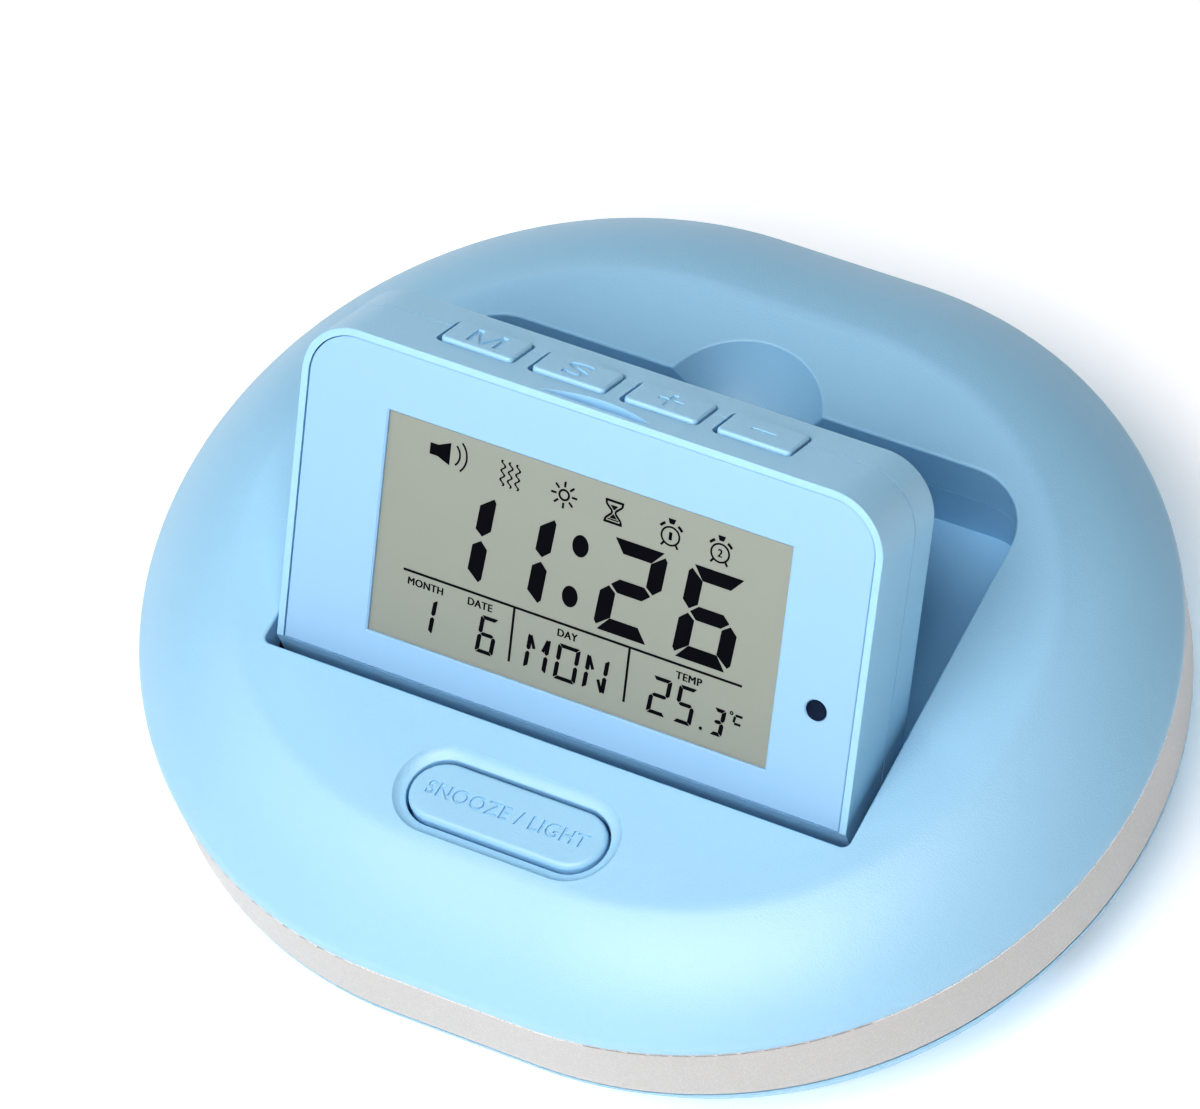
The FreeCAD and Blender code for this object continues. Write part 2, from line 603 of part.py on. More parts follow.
def make_rear_cover():
    """The block's rear half, screwed to the front one from behind."""
    body = new_body("display_rear_cover")
    back = "-block_thick / 2"
    deep = "block_thick - housing_depth - gap"
    pad(body, outline(new_sketch(body, "XY_Plane", ("0", "0", back)), block_outline("0", back)), deep)
    round_barrel(body)

    def rear_rim(edge):
        box = edge.BoundBox
        return abs(box.ZMax - size(back)) < 0.01 and box.YMax > 1
    soften(body, "rear_edge", rear_rim)
    pad(body, outline(new_sketch(body, "XY_Plane", ("0", "0", "20")), block_outline("block_wall", "3.2")),
        "20 - (block_wall - block_thick / 2)", cut=True)
    shell_extras(body, back + "+ block_wall / 2", deep + "- block_wall / 2")
    for place in case_places():
        pad(body, circle(new_sketch(body, "XY_Plane", place + ("0",)), "1.1"), "20", cut=True)
        pad(body, circle(new_sketch(body, "XY_Plane", place + (back + "+ 1.6",)), "2.1"), "5", cut=True)
    return body


def make_face_plate():
    """The flat plate set in the frame, with the window, its rebate and the sensor hole."""
    body = new_body("face_plate")
    front = "block_thick / 2 - plate_sunk"
    back = front + "- plate_thick"
    pad(body, outline(new_sketch(body, "XY_Plane", ("0", "0", back)),
                      block_outline("plate_inset + plate_gap", "plate_low + plate_gap")), "plate_thick")

    def outer_edge(edge):
        return edge.BoundBox.ZMin > size(front) - 0.01
    soften(body, "plate_edge", outer_edge, "PartDesign::Chamfer")
    window = rectangle("window_left", "window_low", "window_right", "window_high")
    pad(body, outline(new_sketch(body, "XY_Plane", ("0", "0", "20")), window), "20", cut=True)
    hole = new_sketch(body, "XY_Plane", ("sensor_across", "sensor_up", "20"))
    pad(body, circle(hole, "sensor_radius"), "20", cut=True)

    def inner_edge(edge):
        box = edge.BoundBox
        reach = max(abs(box.XMin), abs(box.XMax))
        return outer_edge(edge) and reach < size("block_half - 4") and box.YMax < size("block_top - 4")
    soften(body, "window_edge", inner_edge, "PartDesign::Chamfer")
    # the screen stands in a rebate behind the window
    rebate = rectangle("window_left - screen_margin - 0.2", "screen_low - 0.2",
                       "window_right + screen_margin + 0.2", "screen_high + 0.2")
    pad(body, outline(new_sketch(body, "XY_Plane", ("0", "0", front + "- plate_lip")), rebate),
        "5", cut=True)
    return body


def make_key(name, across):
    """One key: a cap that stands just proud of the block's top edge, and a flange that keeps it in."""
    body = new_body(name)
    top = "block_top + key_proud"
    middle = "block_thick / 2 - key_back"
    half, deep = "key_wide / 2", "key_deep / 2"
    centre = "%s * key_pitch + key_shift" % across
    cap = new_sketch(body, "XZ_Plane", (centre, middle, "-(%s)" % top))
    pad(body, outline(cap, rounded("-(%s)" % half, "-(%s)" % deep, half, deep, "key_round - 0.2",
                                   "key_round - 0.2")), "key_proud + block_wall + key_flange + 0.2")

    def cap_rim(edge):
        return abs(edge.BoundBox.YMin - size(top)) < 0.01
    soften(body, "key_edge", cap_rim)
    flange = new_sketch(body, "XZ_Plane", (centre, middle, "-(block_top - block_wall - 0.2)"))
    pad(body, outline(flange, rectangle("-(%s) - 0.9" % half, "-(%s) - 0.9" % deep, half + "+ 0.9",
                                        deep + "+ 0.9")), "key_flange")
    return body


node("display_housing", make_display_housing(), True)
node("rear_cover", make_rear_cover(), True)
node("face_plate", make_face_plate(), True)
KEYS = {"key_mode": -1.5, "key_set": -0.5, "key_plus": 0.5, "key_minus": 1.5}
for key_name, key_across in KEYS.items():
    node(key_name, make_key(key_name + "_cap", key_across), True)

screen_left, screen_wide = "window_left - screen_margin", "window_right - window_left + 2 * screen_margin"
screen_front = "block_thick / 2 - plate_sunk - plate_lip - 0.05"
node("lcd_panel", group(block((screen_left, "screen_low", "screen_back"),
                              (screen_wide, "screen_high - screen_low",
                               screen_front + "- screen_back"))), True)
node("backlight", group(block((screen_left + "+ 0.5", "6.5", "1.65"),
                              (screen_wide + "- 1", "31.6", "1.6"))), True)
node("contact_strip", group(block(("-26", "4.4", "1.55"), ("52", "1.5", "1.7"))), True)
node("display_board", fuse(block(("-30", "3.5", "0.3"), ("60", "34.8", "1.2")),
                           block(("29", "sensor_up - 3.2", "0.3"), ("6.6", "6.4", "1.2"))), True)
node("light_sensor", fuse(block(("sensor_across - 1.6", "sensor_up - 1.6", "1.5"), ("3.2", "3.2", "1.5")),
                          rod("sensor_radius - 0.1", "3.8", ("sensor_across", "sensor_up", "3"))), True)
node("key_board", group(block(("-25", "block_top - 6.4", "-4.4"), ("50", "1", "7"))), True)
switches = []
plunger = "3.7 - block_wall - 0.25 - key_flange - key_travel"
for key_across in KEYS.values():
    centre = "%s * key_pitch" % key_across
    middle = "block_thick / 2 - key_back"
    switches.append(fuse(block((centre + "- 2.5", "block_top - 5.4", middle + "- 2"), ("5", "1.7", "4")),
                         rod("1", plunger, (centre, "block_top - 3.7", middle), "y")))
node("key_switches", group(*switches), True)
pins, washers = [], []
for pin_side in (-1, 1):
    inner = "-well_half - rib + 0.1" if pin_side < 0 else "block_half - 5.5"
    pins.append(rod("pin_radius", "well_half + rib - block_half + 5.4", (inner, "0", "0"), "x"))
    inner = "-well_half + 0.1" if pin_side < 0 else "block_half + 0.02"
    washer = (inner, "0", "0")
    washers.append(cut(rod("4.2", "well_half - block_half - 0.12", washer, "x"),
                       rod("pin_radius + 0.03", "well_half - block_half - 0.12", washer, "x")))
node("hinge_pins", group(*pins), True)
node("friction_washers", group(*washers), True)
node("display_screws", group(*[fuse(rod("1.9", "1.4", place + ("-block_thick / 2 + 0.15",)),
                                    rod("1", "7.5", place + ("-block_thick / 2 + 1.5",)))
                               for place in case_places()]), True)


# ---------------------------------------------------------------- snooze button and the front bay
def make_snooze_button():
    """An obround button with a retaining flange; its top falls a little towards the back."""
    body = new_body("snooze_button")
    low = "deck - dish_deep - 4.8"
    top = "snooze_top + 0.3"
    section = [("0", low), ("snooze_radius + 1.3", low), ("snooze_radius + 1.3", low + "+ 0.8"),
               ("snooze_radius", low + "+ 0.8"), ("snooze_radius", top), ("0", top)]
    obround(body, section, "snooze_offset", "snooze_across", "snooze_back")
    reach = "(snooze_radius + 0.2)"
    waste = [("-" + reach, "snooze_top"), (reach, "snooze_top - 2 * tan(snooze_tilt * 1deg) *" + reach),
             (reach, "snooze_top + 2"), ("-" + reach, "snooze_top + 2")]
    pad(body, outline(new_sketch(body, "YZ_Plane", ("snooze_back", "0", "snooze_across")), waste),
        "2 * (snooze_offset + snooze_radius) + 2", midplane=True, cut=True)

    def top_rim(edge):
        return edge.BoundBox.ZMin > size("snooze_top - 1.8")
    soften(body, "0.7", top_rim)
    return body


node("snooze_button", make_snooze_button())
board_top = "board_low + board_thick"
plunger = "deck - dish_deep - 5 - snooze_travel - (%s) - 2.6" % board_top
node("snooze_switch", fuse(block(("snooze_across - 3", "snooze_back - 3", board_top), ("6", "6", "2.6")),
                           rod("1.7", plunger, ("snooze_across", "snooze_back", board_top + "+ 2.6"))))
holes = [("%d * (board_half - 5)" % side, back) for side in (-1, 1)
         for back in ("board_front + 4", "board_rear - 2.5")]
node("main_board", cut(block(("-board_half", "board_front", "board_low"),
                             ("2 * board_half", "board_rear - board_front", "board_thick")),
                       *[rod("0.95", "board_thick", hole + ("board_low",)) for hole in holes]))
node("board_screws", group(*[fuse(rod("1.8", "1.2", hole + ("board_low - 1.2",)),
                                  rod("0.75", "board_thick + 4", hole + ("board_low",)))
                             for hole in holes]))
node("board_parts", group(block(("6", "-45", board_top), ("9", "9", "1.4")),
                          rod("2.5", "4.2", ("-12", "-44", board_top)),
                          block(("-15", "-37.5", board_top), ("4.5", "2.2", "2"))))
speaker = ("speaker_across", "speaker_back")
node("speaker", fuse(rod("speaker_radius", "1.2", speaker + ("6.2",)),
                     cone("speaker_radius - 1", "7", "2.4", speaker + ("7.4",)),
                     rod("6.5", "1.8", speaker + ("9.7",))))

# ---------------------------------------------------------------- batteries
door_low, door_edge = "belly + 0.1", "(bay_half - door_gap)"
door_long = "bay_rear - bay_front - 2 * door_gap - door_thick / 2"
hinge_line = ("bay_rear - door_gap - door_thick / 2", door_low + "+ door_thick / 2")
node("battery_door", fuse(block(("-" + door_edge, "bay_front + door_gap", door_low),
                                ("2 *" + door_edge, door_long, "door_thick")),
                          block(("-5", "bay_front - 2.3", door_low), ("10", "3", "door_thick")),
                          rod("door_thick / 2", "2 *" + door_edge, ("-" + door_edge,) + hinge_line, "x"),
                          rod("0.5", "2 * bay_half + 1.4", ("-bay_half - 0.7",) + hinge_line, "x")))
cells, plates, springs = [], [], []
for lane in (-1, 0, 1):
    axis_back = "(bay_front + bay_rear) / 2 + %d * cell_pitch" % lane
    axis_up = "belly + door_thick + 0.5 + cell_radius"
    flip = 1 if lane % 2 else -1
    cell = rod("cell_radius", "cell_long - 0.8", ("-cell_long / 2 + %s" % ("0" if flip > 0 else "0.8"),
                                                  axis_back, axis_up), "x")
    tip_start = "cell_long / 2 - 0.8" if flip > 0 else "-cell_long / 2"
    tip = rod("2", "0.8", (tip_start, axis_back, axis_up), "x")
    cells.append(fuse(cell, tip))
    for end in (-1, 1):
        at = "bay_half - 0.5" if end > 0 else "-bay_half + 0.1"
        plates.append(block((at, axis_back + "- 4", axis_up + "- 4"), ("0.4", "8", "8")))
    spring_at = "-bay_half + 0.5" if flip > 0 else "cell_long / 2"
    radii = ("3.4", "1.8") if flip > 0 else ("1.8", "3.4")
    springs.append(cone(radii[0], radii[1], "bay_half - cell_long / 2 - 0.5",
                        (spring_at, axis_back, axis_up), "x"))
node("aaa_cells", group(*cells))
node("battery_contacts", group(*plates))
node("battery_springs", group(*springs))

# ---------------------------------------------------------------- case screws and casters
corners = [("%d * boss_across" % side, "%d * boss_back" % back) for side in (-1, 1) for back in (-1, 1)]
node("case_screws", group(*[fuse(rod("2.6", "1.6", corner + ("6.9",)),
                                 rod("screw_radius", "12", corner + ("8.5",))) for corner in corners]))
rings = []
for name, back in (("caster_ball_front", -1), ("caster_ball_rear", 1)):
    reach = "%d * caster_reach" % back
    node(name, ball("ball_radius", ("0", reach, "ball_radius")))
    rings.append(cut(rod("ring_radius", "ball_radius - 0.05 - 2.6", ("0", reach, "2.6")),
                     ball("ball_radius + ball_gap", ("0", reach, "ball_radius"))))
node("caster_rings", group(*rings))


# ---------------------------------------------------------------- wheels and gear trains
def add_teeth(body, teeth, low, wide, turn):
    """A disc at the root circle and a polar pattern of teeth, the first at the angle turn."""
    pitch = "(tooth_size * %s / 2)" % teeth
    root, tip = pitch + "- 1.2 * tooth_size", pitch + "+ 0.95 * tooth_size"
    pad(body, circle(new_sketch(body, "YZ_Plane", ("0", "0", low)), root), wide)
    narrow = size(teeth) < 14
    foot = "0.36 * tooth_size" if narrow else "1.0 * tooth_size"
    tooth = new_sketch(body, "YZ_Plane", ("0", "0", low), turn)
    feature = pad(body, outline(tooth, [(root + "- 0.1", "-" + foot), (pitch, "-0.66 * tooth_size"),
                                        (tip, "-0.27 * tooth_size"), (tip, "0.27 * tooth_size"),
                                        (pitch, "0.66 * tooth_size"), (root + "- 0.1", foot)]), wide)
    doc.recompute()
    pattern = body.newObject("PartDesign::PolarPattern", body.Name + "_teeth")
    pattern.Originals = [feature]
    pattern.Axis = (tooth, ["N_Axis"])
    pattern.Angle = 360
    pattern.setExpression("Occurrences", bound(teeth))
    body.Tip = pattern


def bore_through(body, radius):
    pad(body, circle(new_sketch(body, "YZ_Plane"), radius), "60", midplane=True, cut=True)


def make_hub(name):
    """A dished wheel centre with a rim, a web with five windows, and a boss on the axle."""
    body = new_body(name)
    wide = "wheel_wide"
    section = [("0", "axle_radius"), (wide, "axle_radius"), (wide, "3.4"), (wide + "- 1", "3.8"),
               (wide + "- 2.6", "3.8"), (wide + "- 2.6", "rim_radius - 1.6"), (wide, "rim_radius - 1.2"),
               (wide, "rim_radius"), ("0", "rim_radius"), ("0", "rim_radius - 1.2"),
               (wide + "- 4.4", "rim_radius - 1.6"), (wide + "- 4.4", "3.8"), ("0", "3.8")]
    spin(body, outline(new_sketch(body, "XZ_Plane"), section), 360, axis="H_Axis")
    window = new_sketch(body, "YZ_Plane", ("6.1", "0", "0"))
    feature = pad(body, circle(window, "1.5"), "60", midplane=True, cut=True)
    axis_sketch = new_sketch(body, "YZ_Plane")
    doc.recompute()
    pattern = body.newObject("PartDesign::PolarPattern", body.Name + "_windows")
    pattern.Originals = [feature]
    pattern.Axis = (axis_sketch, ["N_Axis"])
    pattern.Angle = 360
    pattern.Occurrences = 5
    body.Tip = pattern
    return body


def make_tyre(name):
    """A rubber tyre with rounded shoulders and cross grooves."""
    body = new_body(name)
    wide, shoulder = "wheel_wide", "1.3"
    section = [("0", "rim_radius"), (wide, "rim_radius"), (wide, "wheel_radius - " + shoulder, shoulder),
               (wide + "-" + shoulder, "wheel_radius"), (shoulder, "wheel_radius", shoulder),
               ("0", "wheel_radius - " + shoulder)]
    spin(body, outline(new_sketch(body, "XZ_Plane"), section), 360, axis="H_Axis")
    groove = new_sketch(body, "YZ_Plane", ("0", "0", "wheel_wide / 2"))
    feature = pad(body, outline(groove, rectangle("wheel_radius - 0.8", "-0.6", "wheel_radius + 1", "0.6")),
                  "wheel_wide + 1", midplane=True, cut=True)
    axis_sketch = new_sketch(body, "YZ_Plane")
    doc.recompute()
    pattern = body.newObject("PartDesign::PolarPattern", body.Name + "_tread")
    pattern.Originals = [feature]
    pattern.Axis = (axis_sketch, ["N_Axis"])
    pattern.Angle = 360
    pattern.Occurrences = 20
    body.Tip = pattern
    return body


def place(body, side, low, wide, back, up):
    """Carry a body built along +X from its own origin to one side of the clock."""
    across = low if side > 0 else "-(%s) - (%s)" % (low, wide)
    set_base(body, (across, back, up))
    return body


idler_back = "tooth_size * (wheel_teeth + idler_small) / 2 * cos(idler_rise * 1deg)"
idler_up = "wheel_radius + tooth_size * (wheel_teeth + idler_small) / 2 * sin(idler_rise * 1deg)"
motor_back = idler_back + "+ tooth_size * (idler_large + pinion_teeth) / 2 * cos(motor_fall * 1deg)"
motor_up = idler_up + "+ tooth_size * (idler_large + pinion_teeth) / 2 * sin(motor_fall * 1deg)"

for side, hand in ((-1, "left"), (1, "right")):
    hub = place(make_hub("hub_" + hand), side, "wheel_in", "wheel_wide", "0", "wheel_radius")
    node("wheel_hub_" + hand, hub)
    tyre = place(make_tyre("rubber_" + hand), side, "wheel_in", "wheel_wide", "0", "wheel_radius")
    node("tyre_" + hand, tyre)
    start = "plate_in + 0.3" if side > 0 else "-(wheel_in + wheel_wide)"
    node("axle_" + hand, rod("axle_radius", "wheel_in + wheel_wide - plate_in - 0.3",
                             (start, "0", "wheel_radius"), "x"))

    wheel_gear = new_body("drive_gear_" + hand)
    add_teeth(wheel_gear, "wheel_teeth", "0", "gear_wide", size("idler_rise"))
    bore_through(wheel_gear, "axle_radius + 0.02")
    node("wheel_gear_" + hand, place(wheel_gear, side, "gear_out", "gear_wide", "0", "wheel_radius"))

    idler = new_body("idler_" + hand)
    long_side = "gear_out + gear_wide - gear_in"
    large_at = "0" if side > 0 else "gear_out - gear_in"
    small_at = "gear_wide" if side > 0 else "0"
    small_wide = "gear_out - gear_in"
    add_teeth(idler, "idler_large", large_at, "gear_wide", size("motor_fall"))
    add_teeth(idler, "idler_small", small_at, small_wide, size("idler_rise") + 180 + 18)
    bore_through(idler, "1.06")
    node("idler_gear_" + hand, place(idler, side, "gear_in", long_side, idler_back, idler_up))
    start = "plate_in" if side > 0 else "-plate_out - 0.9"
    node("idler_pin_" + hand, rod("1", "plate_out + 0.9 - plate_in", (start, idler_back, idler_up), "x"))

    pinion = new_body("pinion_" + hand)
    add_teeth(pinion, "pinion_teeth", "0", "gear_wide", size("motor_fall") + 180 + 22.5)
    bore_through(pinion, "0.75")
    node("motor_pinion_" + hand, place(pinion, side, "gear_in", "gear_wide", motor_back, motor_up))
    start = "plate_in - 3" if side > 0 else "-gear_in - gear_wide - 0.2"
    node("motor_shaft_" + hand, rod("0.75", "gear_in + gear_wide + 3.2 - plate_in",
                                    (start, motor_back, motor_up), "x"))

    start = "plate_in - 15" if side > 0 else "-plate_in"
    can = doc.addObject("Part::Common", "can_" + hand)
    can.Base = rod("6", "15", (start, motor_back, motor_up), "x")
    can.Tool = block((start, motor_back + "- 6", motor_up + "- 5"), ("15", "12", "10"))
    boss_start = "plate_in - 0.5" if side > 0 else "-plate_in - 0.9"
    nose = rod("2", "1.4", (boss_start, motor_back, motor_up), "x")
    hole_start = "plate_in - 3.1" if side > 0 else "-plate_in - 2"
    shaft_hole = rod("0.83", "5.1", (hole_start, motor_back, motor_up), "x")
    node("drive_motor_" + hand, cut(fuse(can, nose), shaft_hole))

    walls = []
    for low, thick in (("plate_in", "1.1"), ("plate_out", "0.9")):
        at = low if side > 0 else "-(%s) - %s" % (low, thick)
        walls.append(block((at, "-12", "belly + skin"), (thick, "38", "16.6")))
    start = "plate_in + 0.5" if side > 0 else "-plate_out - 0.5"
    for back, up in (("24", "20"), ("24", "7.3"), ("-10.2", "7.3"), ("-10.2", "19")):
        walls.append(rod("1.5", "plate_out - plate_in", (start, back, up), "x"))
    across_all = "plate_in - 1" if side > 0 else "-plate_out - 3"
    tools = [rod("axle_radius + 0.07", "10", (across_all, "0", "wheel_radius"), "x"),
             rod("1", "10", (across_all, idler_back, idler_up), "x"),
             rod("2.1", "4", ("plate_in - 1" if side > 0 else "-plate_in - 3", motor_back, motor_up), "x")]
    node("gearbox_frame_" + hand, cut(fuse(*walls), *tools))

# ---------------------------------------------------------------- check and write every sub-part
doc.recompute()
faulty = [item.Name for item in doc.Objects if {"Invalid", "Error"} & set(item.State)]
faulty += [name for name, item in nodes.items() if item.Shape.isNull() or not item.Shape.isValid()]
if faulty:
    raise SystemExit("faulty: " + ", ".join(faulty))
os.makedirs("parts", exist_ok=True)
for name, item in nodes.items():
    item.Shape.exportStep("parts/%s.step" % name)
    print(name, len(item.Shape.Solids), round(item.Shape.Volume))
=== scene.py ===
# %% [markdown]
# # A runaway alarm clock, dressed for the camera
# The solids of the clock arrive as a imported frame: two wheels, a shallow tub of a body, a silver band,
# a blue cover with a sunk well, and a display block that folds up out of it. This file gives each
# surface its finish, adds what is too fine for the solids, and lights the whole thing.

# %% Load the frame
import json
import math

import bmesh
import bpy
from mathutils import Matrix, Vector


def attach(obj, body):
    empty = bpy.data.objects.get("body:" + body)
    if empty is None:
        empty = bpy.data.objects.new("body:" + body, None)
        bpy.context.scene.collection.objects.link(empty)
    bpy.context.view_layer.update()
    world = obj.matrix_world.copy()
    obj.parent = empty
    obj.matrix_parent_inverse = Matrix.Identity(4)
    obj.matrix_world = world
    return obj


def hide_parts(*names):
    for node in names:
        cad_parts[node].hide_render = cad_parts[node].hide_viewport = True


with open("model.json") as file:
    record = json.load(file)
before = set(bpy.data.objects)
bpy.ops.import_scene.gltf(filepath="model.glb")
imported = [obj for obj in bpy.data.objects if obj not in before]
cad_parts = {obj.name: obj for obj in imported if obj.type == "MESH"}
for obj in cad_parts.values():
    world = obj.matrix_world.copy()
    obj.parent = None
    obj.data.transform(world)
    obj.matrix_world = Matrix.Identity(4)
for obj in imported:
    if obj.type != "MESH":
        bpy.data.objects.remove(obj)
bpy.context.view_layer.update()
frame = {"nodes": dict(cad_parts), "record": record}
MM = 0.001

# %% [markdown]
# ## Where things are
# The display leans back about a hinge, so everything on it is easiest to place in the display's own
# axes: x to the right, y up the face, z out of the face. One matrix carries such a place into the
# clock's frame. Its numbers come from the hinge's own joint, which folds the display flat from the
# lean it is drawn with. The snooze bar has the same kind of matrix, because its top slopes a little.

# %% Display and snooze axes
def tilted(place, angle):
    """Axes at a place in metres, turned about x by an angle in degrees."""
    return Matrix.Translation(place) @ Matrix.Rotation(math.radians(angle), 4, "X")


BEHAVIOUR = frame["record"]["behaviour"]
fold = next(joint for joint in BEHAVIOUR["joints"] if joint["name"] == "display_fold")
DISPLAY = tilted(Vector(fold["pos_m"]), -fold["range_deg"][0])
SNOOZE_TOP, SNOOZE_SLOPE = Vector((-0.4, -34.52, 33.294)) * MM, -7.0
SNOOZE = tilted(SNOOZE_TOP, SNOOZE_SLOPE)
print("display hinge", [round(v, 4) for v in DISPLAY.translation], "range", fold["range_deg"])

# %% [markdown]
# ## Camera
# The clock is seen from high on the front right with a long lens, a little turned about the line of
# sight. The camera's three axes are worked out from azimuth, elevation and roll, which is easier to
# read than a quaternion.

# %% Camera
AZIMUTH, ELEVATION, ROLL = (math.radians(v) for v in (43.3312, 56.2067, -19.0746))
CAMERA_AT = Vector((0.348366, -0.374563, 0.806088))

forward = Vector((
    -math.sin(AZIMUTH) * math.cos(ELEVATION),
    math.cos(AZIMUTH) * math.cos(ELEVATION),
    -math.sin(ELEVATION),
))
level_right = forward.cross(Vector((0, 0, 1))).normalized()
level_up = level_right.cross(forward)
right = level_right * math.cos(ROLL) + level_up * math.sin(ROLL)
up = level_up * math.cos(ROLL) - level_right * math.sin(ROLL)
turned = Matrix((right, up, -forward)).transposed().to_4x4()

lens = bpy.data.cameras.new("portrait_camera")
lens.lens = 231.95
lens.sensor_width = 36
lens.sensor_fit = "HORIZONTAL"
lens.clip_start, lens.clip_end = 0.01, 10
camera = bpy.data.objects.new("portrait_camera", lens)
bpy.context.scene.collection.objects.link(camera)
camera.matrix_world = Matrix.Translation(CAMERA_AT) @ turned
bpy.context.scene.camera = camera
print("camera", round(CAMERA_AT.length, 3), "m from the origin")

# %% [markdown]
# ## A small kit for finishes
# A finish is a sum over the surface: a broad drift of colour, a fine grain, a little wear. Nodes
# are tiring to wire by hand, so a Signal wraps one socket and lets it be added and multiplied like a
# number, and a Finish holds one material and makes any node with a single call.

# %% Signals
class Signal:
    """One value on its way through the nodes of a finish."""

    def __init__(self, finish, socket):
        self.finish, self.socket = finish, socket

    def _maths(self, operation, first, second):
        return self.finish.node("Math", {"operation": operation}, {0: first, 1: second})

    def __add__(self, other):
        return self._maths("ADD", self, other)

    def __sub__(self, other):
        return self._maths("SUBTRACT", self, other)

    def __rsub__(self, other):
        return self._maths("SUBTRACT", other, self)

    def __mul__(self, other):
        return self._maths("MULTIPLY", self, other)

    def __pow__(self, other):
        return self._maths("POWER", self, other)

    def __gt__(self, other):
        return self._maths("GREATER_THAN", self, other)

    __radd__, __rmul__ = __add__, __mul__


print("signals add, subtract, multiply, rise to a power and compare")


# %% Finishes
def paint(red, green, blue):
    """A colour as a paint chart gives it, 0 to 255, turned into the shader's linear light."""
    def linear(part):
        part /= 255
        return part / 12.92 if part <= 0.04045 else ((part + 0.055) / 1.055) ** 2.4

    return (linear(red), linear(green), linear(blue), 1)


class Finish:
    """One material. Settled sockets are given when it is made, and varying ones are fed later."""

    def __init__(self, name, **settled):
        self.material = bpy.data.materials.new(name)
        self.material.use_nodes = True
        self.tree = self.material.node_tree
        self.skin = self.tree.nodes["Principled BSDF"]
        for socket, value in settled.items():
            self.skin.inputs[socket.replace("_", " ")].default_value = value
        self.place = self.node("TexCoord", {}, {}, "Object")

    def node(self, kind, settings, sockets, out=0):
        """Makes a node, sets it up, fills its sockets with values or links, and gives one output."""
        made = self.tree.nodes.new("ShaderNode" + kind)
        for name, value in settings.items():
            setattr(made, name, value)
        for socket, value in sockets.items():
            if isinstance(value, Signal):
                self.tree.links.new(value.socket, made.inputs[socket])
            else:
                made.inputs[socket].default_value = value
        return Signal(self, made.outputs[out])

    def noise(self, size, detail=2.0, stretch=None):
        """Cloudy noise whose features are about size metres across, 0 to 1."""
        place = self.place
        if stretch:
            place = self.node("Mapping", {}, {"Vector": place, "Scale": stretch})
        return self.node("TexNoise", {}, {"Vector": place, "Scale": 1 / size, "Detail": detail})

    def cells(self, size, out):
        """A scatter of cells about size metres apart."""
        return self.node("TexVoronoi", {}, {"Vector": self.place, "Scale": 1 / size}, out)

    def mix(self, amount, first, second):
        """Blends two colours."""
        return self.node("Mix", {"data_type": "RGBA"}, {0: amount, 6: first, 7: second}, 2)

    def feed(self, socket, signal):
        """Leads a signal into a socket of the shader."""
        self.tree.links.new(signal.socket, self.skin.inputs[socket])

    def bump(self, height, distance):
        """Leads a height, 0 to 1, into the normal as relief of that depth in metres."""
        self.feed("Normal", self.node("Bump", {}, {"Distance": distance, "Height": height}, "Normal"))


print("paint(128, 128, 128) is", round(paint(128, 128, 128)[0], 3))

# %% [markdown]
# ## Moulded plastics
# Nearly all of the clock is injection-moulded ABS. Its colour is never quite even: it drifts over
# centimetres where the melt flowed, and the tool's spark-eroded skin gives it a grain a few tenths of
# a millimetre across. One function makes them all, from a colour, a gloss and how deep the grain is.

# %% Moulded plastic
FLOW_SIZE, GRAIN_SIZE = 30 * MM, 0.22 * MM


def shade(colour, factor):
    """A colour made darker or lighter by a factor."""
    return tuple(min(1, part * factor) for part in colour[:3]) + (1,)


def moulded(name, colour, roughness, grain=4e-6, drift=0.035):
    """Injection-moulded plastic with a drifting colour and a fine grain."""
    finish = Finish(name, IOR=1.5)
    cloud = finish.noise(FLOW_SIZE, 3)
    fleck = finish.noise(GRAIN_SIZE, 2)
    darker, lighter = shade(colour, 1 - drift), shade(colour, 1 + drift)
    finish.feed("Base Color", finish.mix(cloud * 0.8 + fleck * 0.2, darker, lighter))
    finish.feed("Roughness", cloud * 0.06 + fleck * 0.14 + (roughness - 0.1))
    finish.bump(fleck, grain)
    return finish


blue_shell = moulded("moulded_blue", paint(167, 214, 240), 0.36, grain=4e-5, drift=0.02)
face_panel = moulded("pale_face_blue", paint(158, 202, 235), 0.44, grain=2e-6, drift=0.012)
black_plastic = moulded("black_glass_filled", paint(34, 35, 38), 0.5, grain=8e-6)
hub_plastic = moulded("wheel_hub_blue", paint(150, 200, 228), 0.4)
gear_plastic = moulded("acetal_white", paint(236, 234, 226), 0.36, grain=2e-6)
ball_plastic = moulded("caster_ball_grey", paint(196, 200, 204), 0.28, grain=1e-6)
ring_plastic = moulded("caster_ring_grey", paint(164, 168, 172), 0.42)
diffuser = moulded("milky_diffuser", paint(238, 240, 236), 0.55, grain=2e-6)
print("moulded plastics ready")
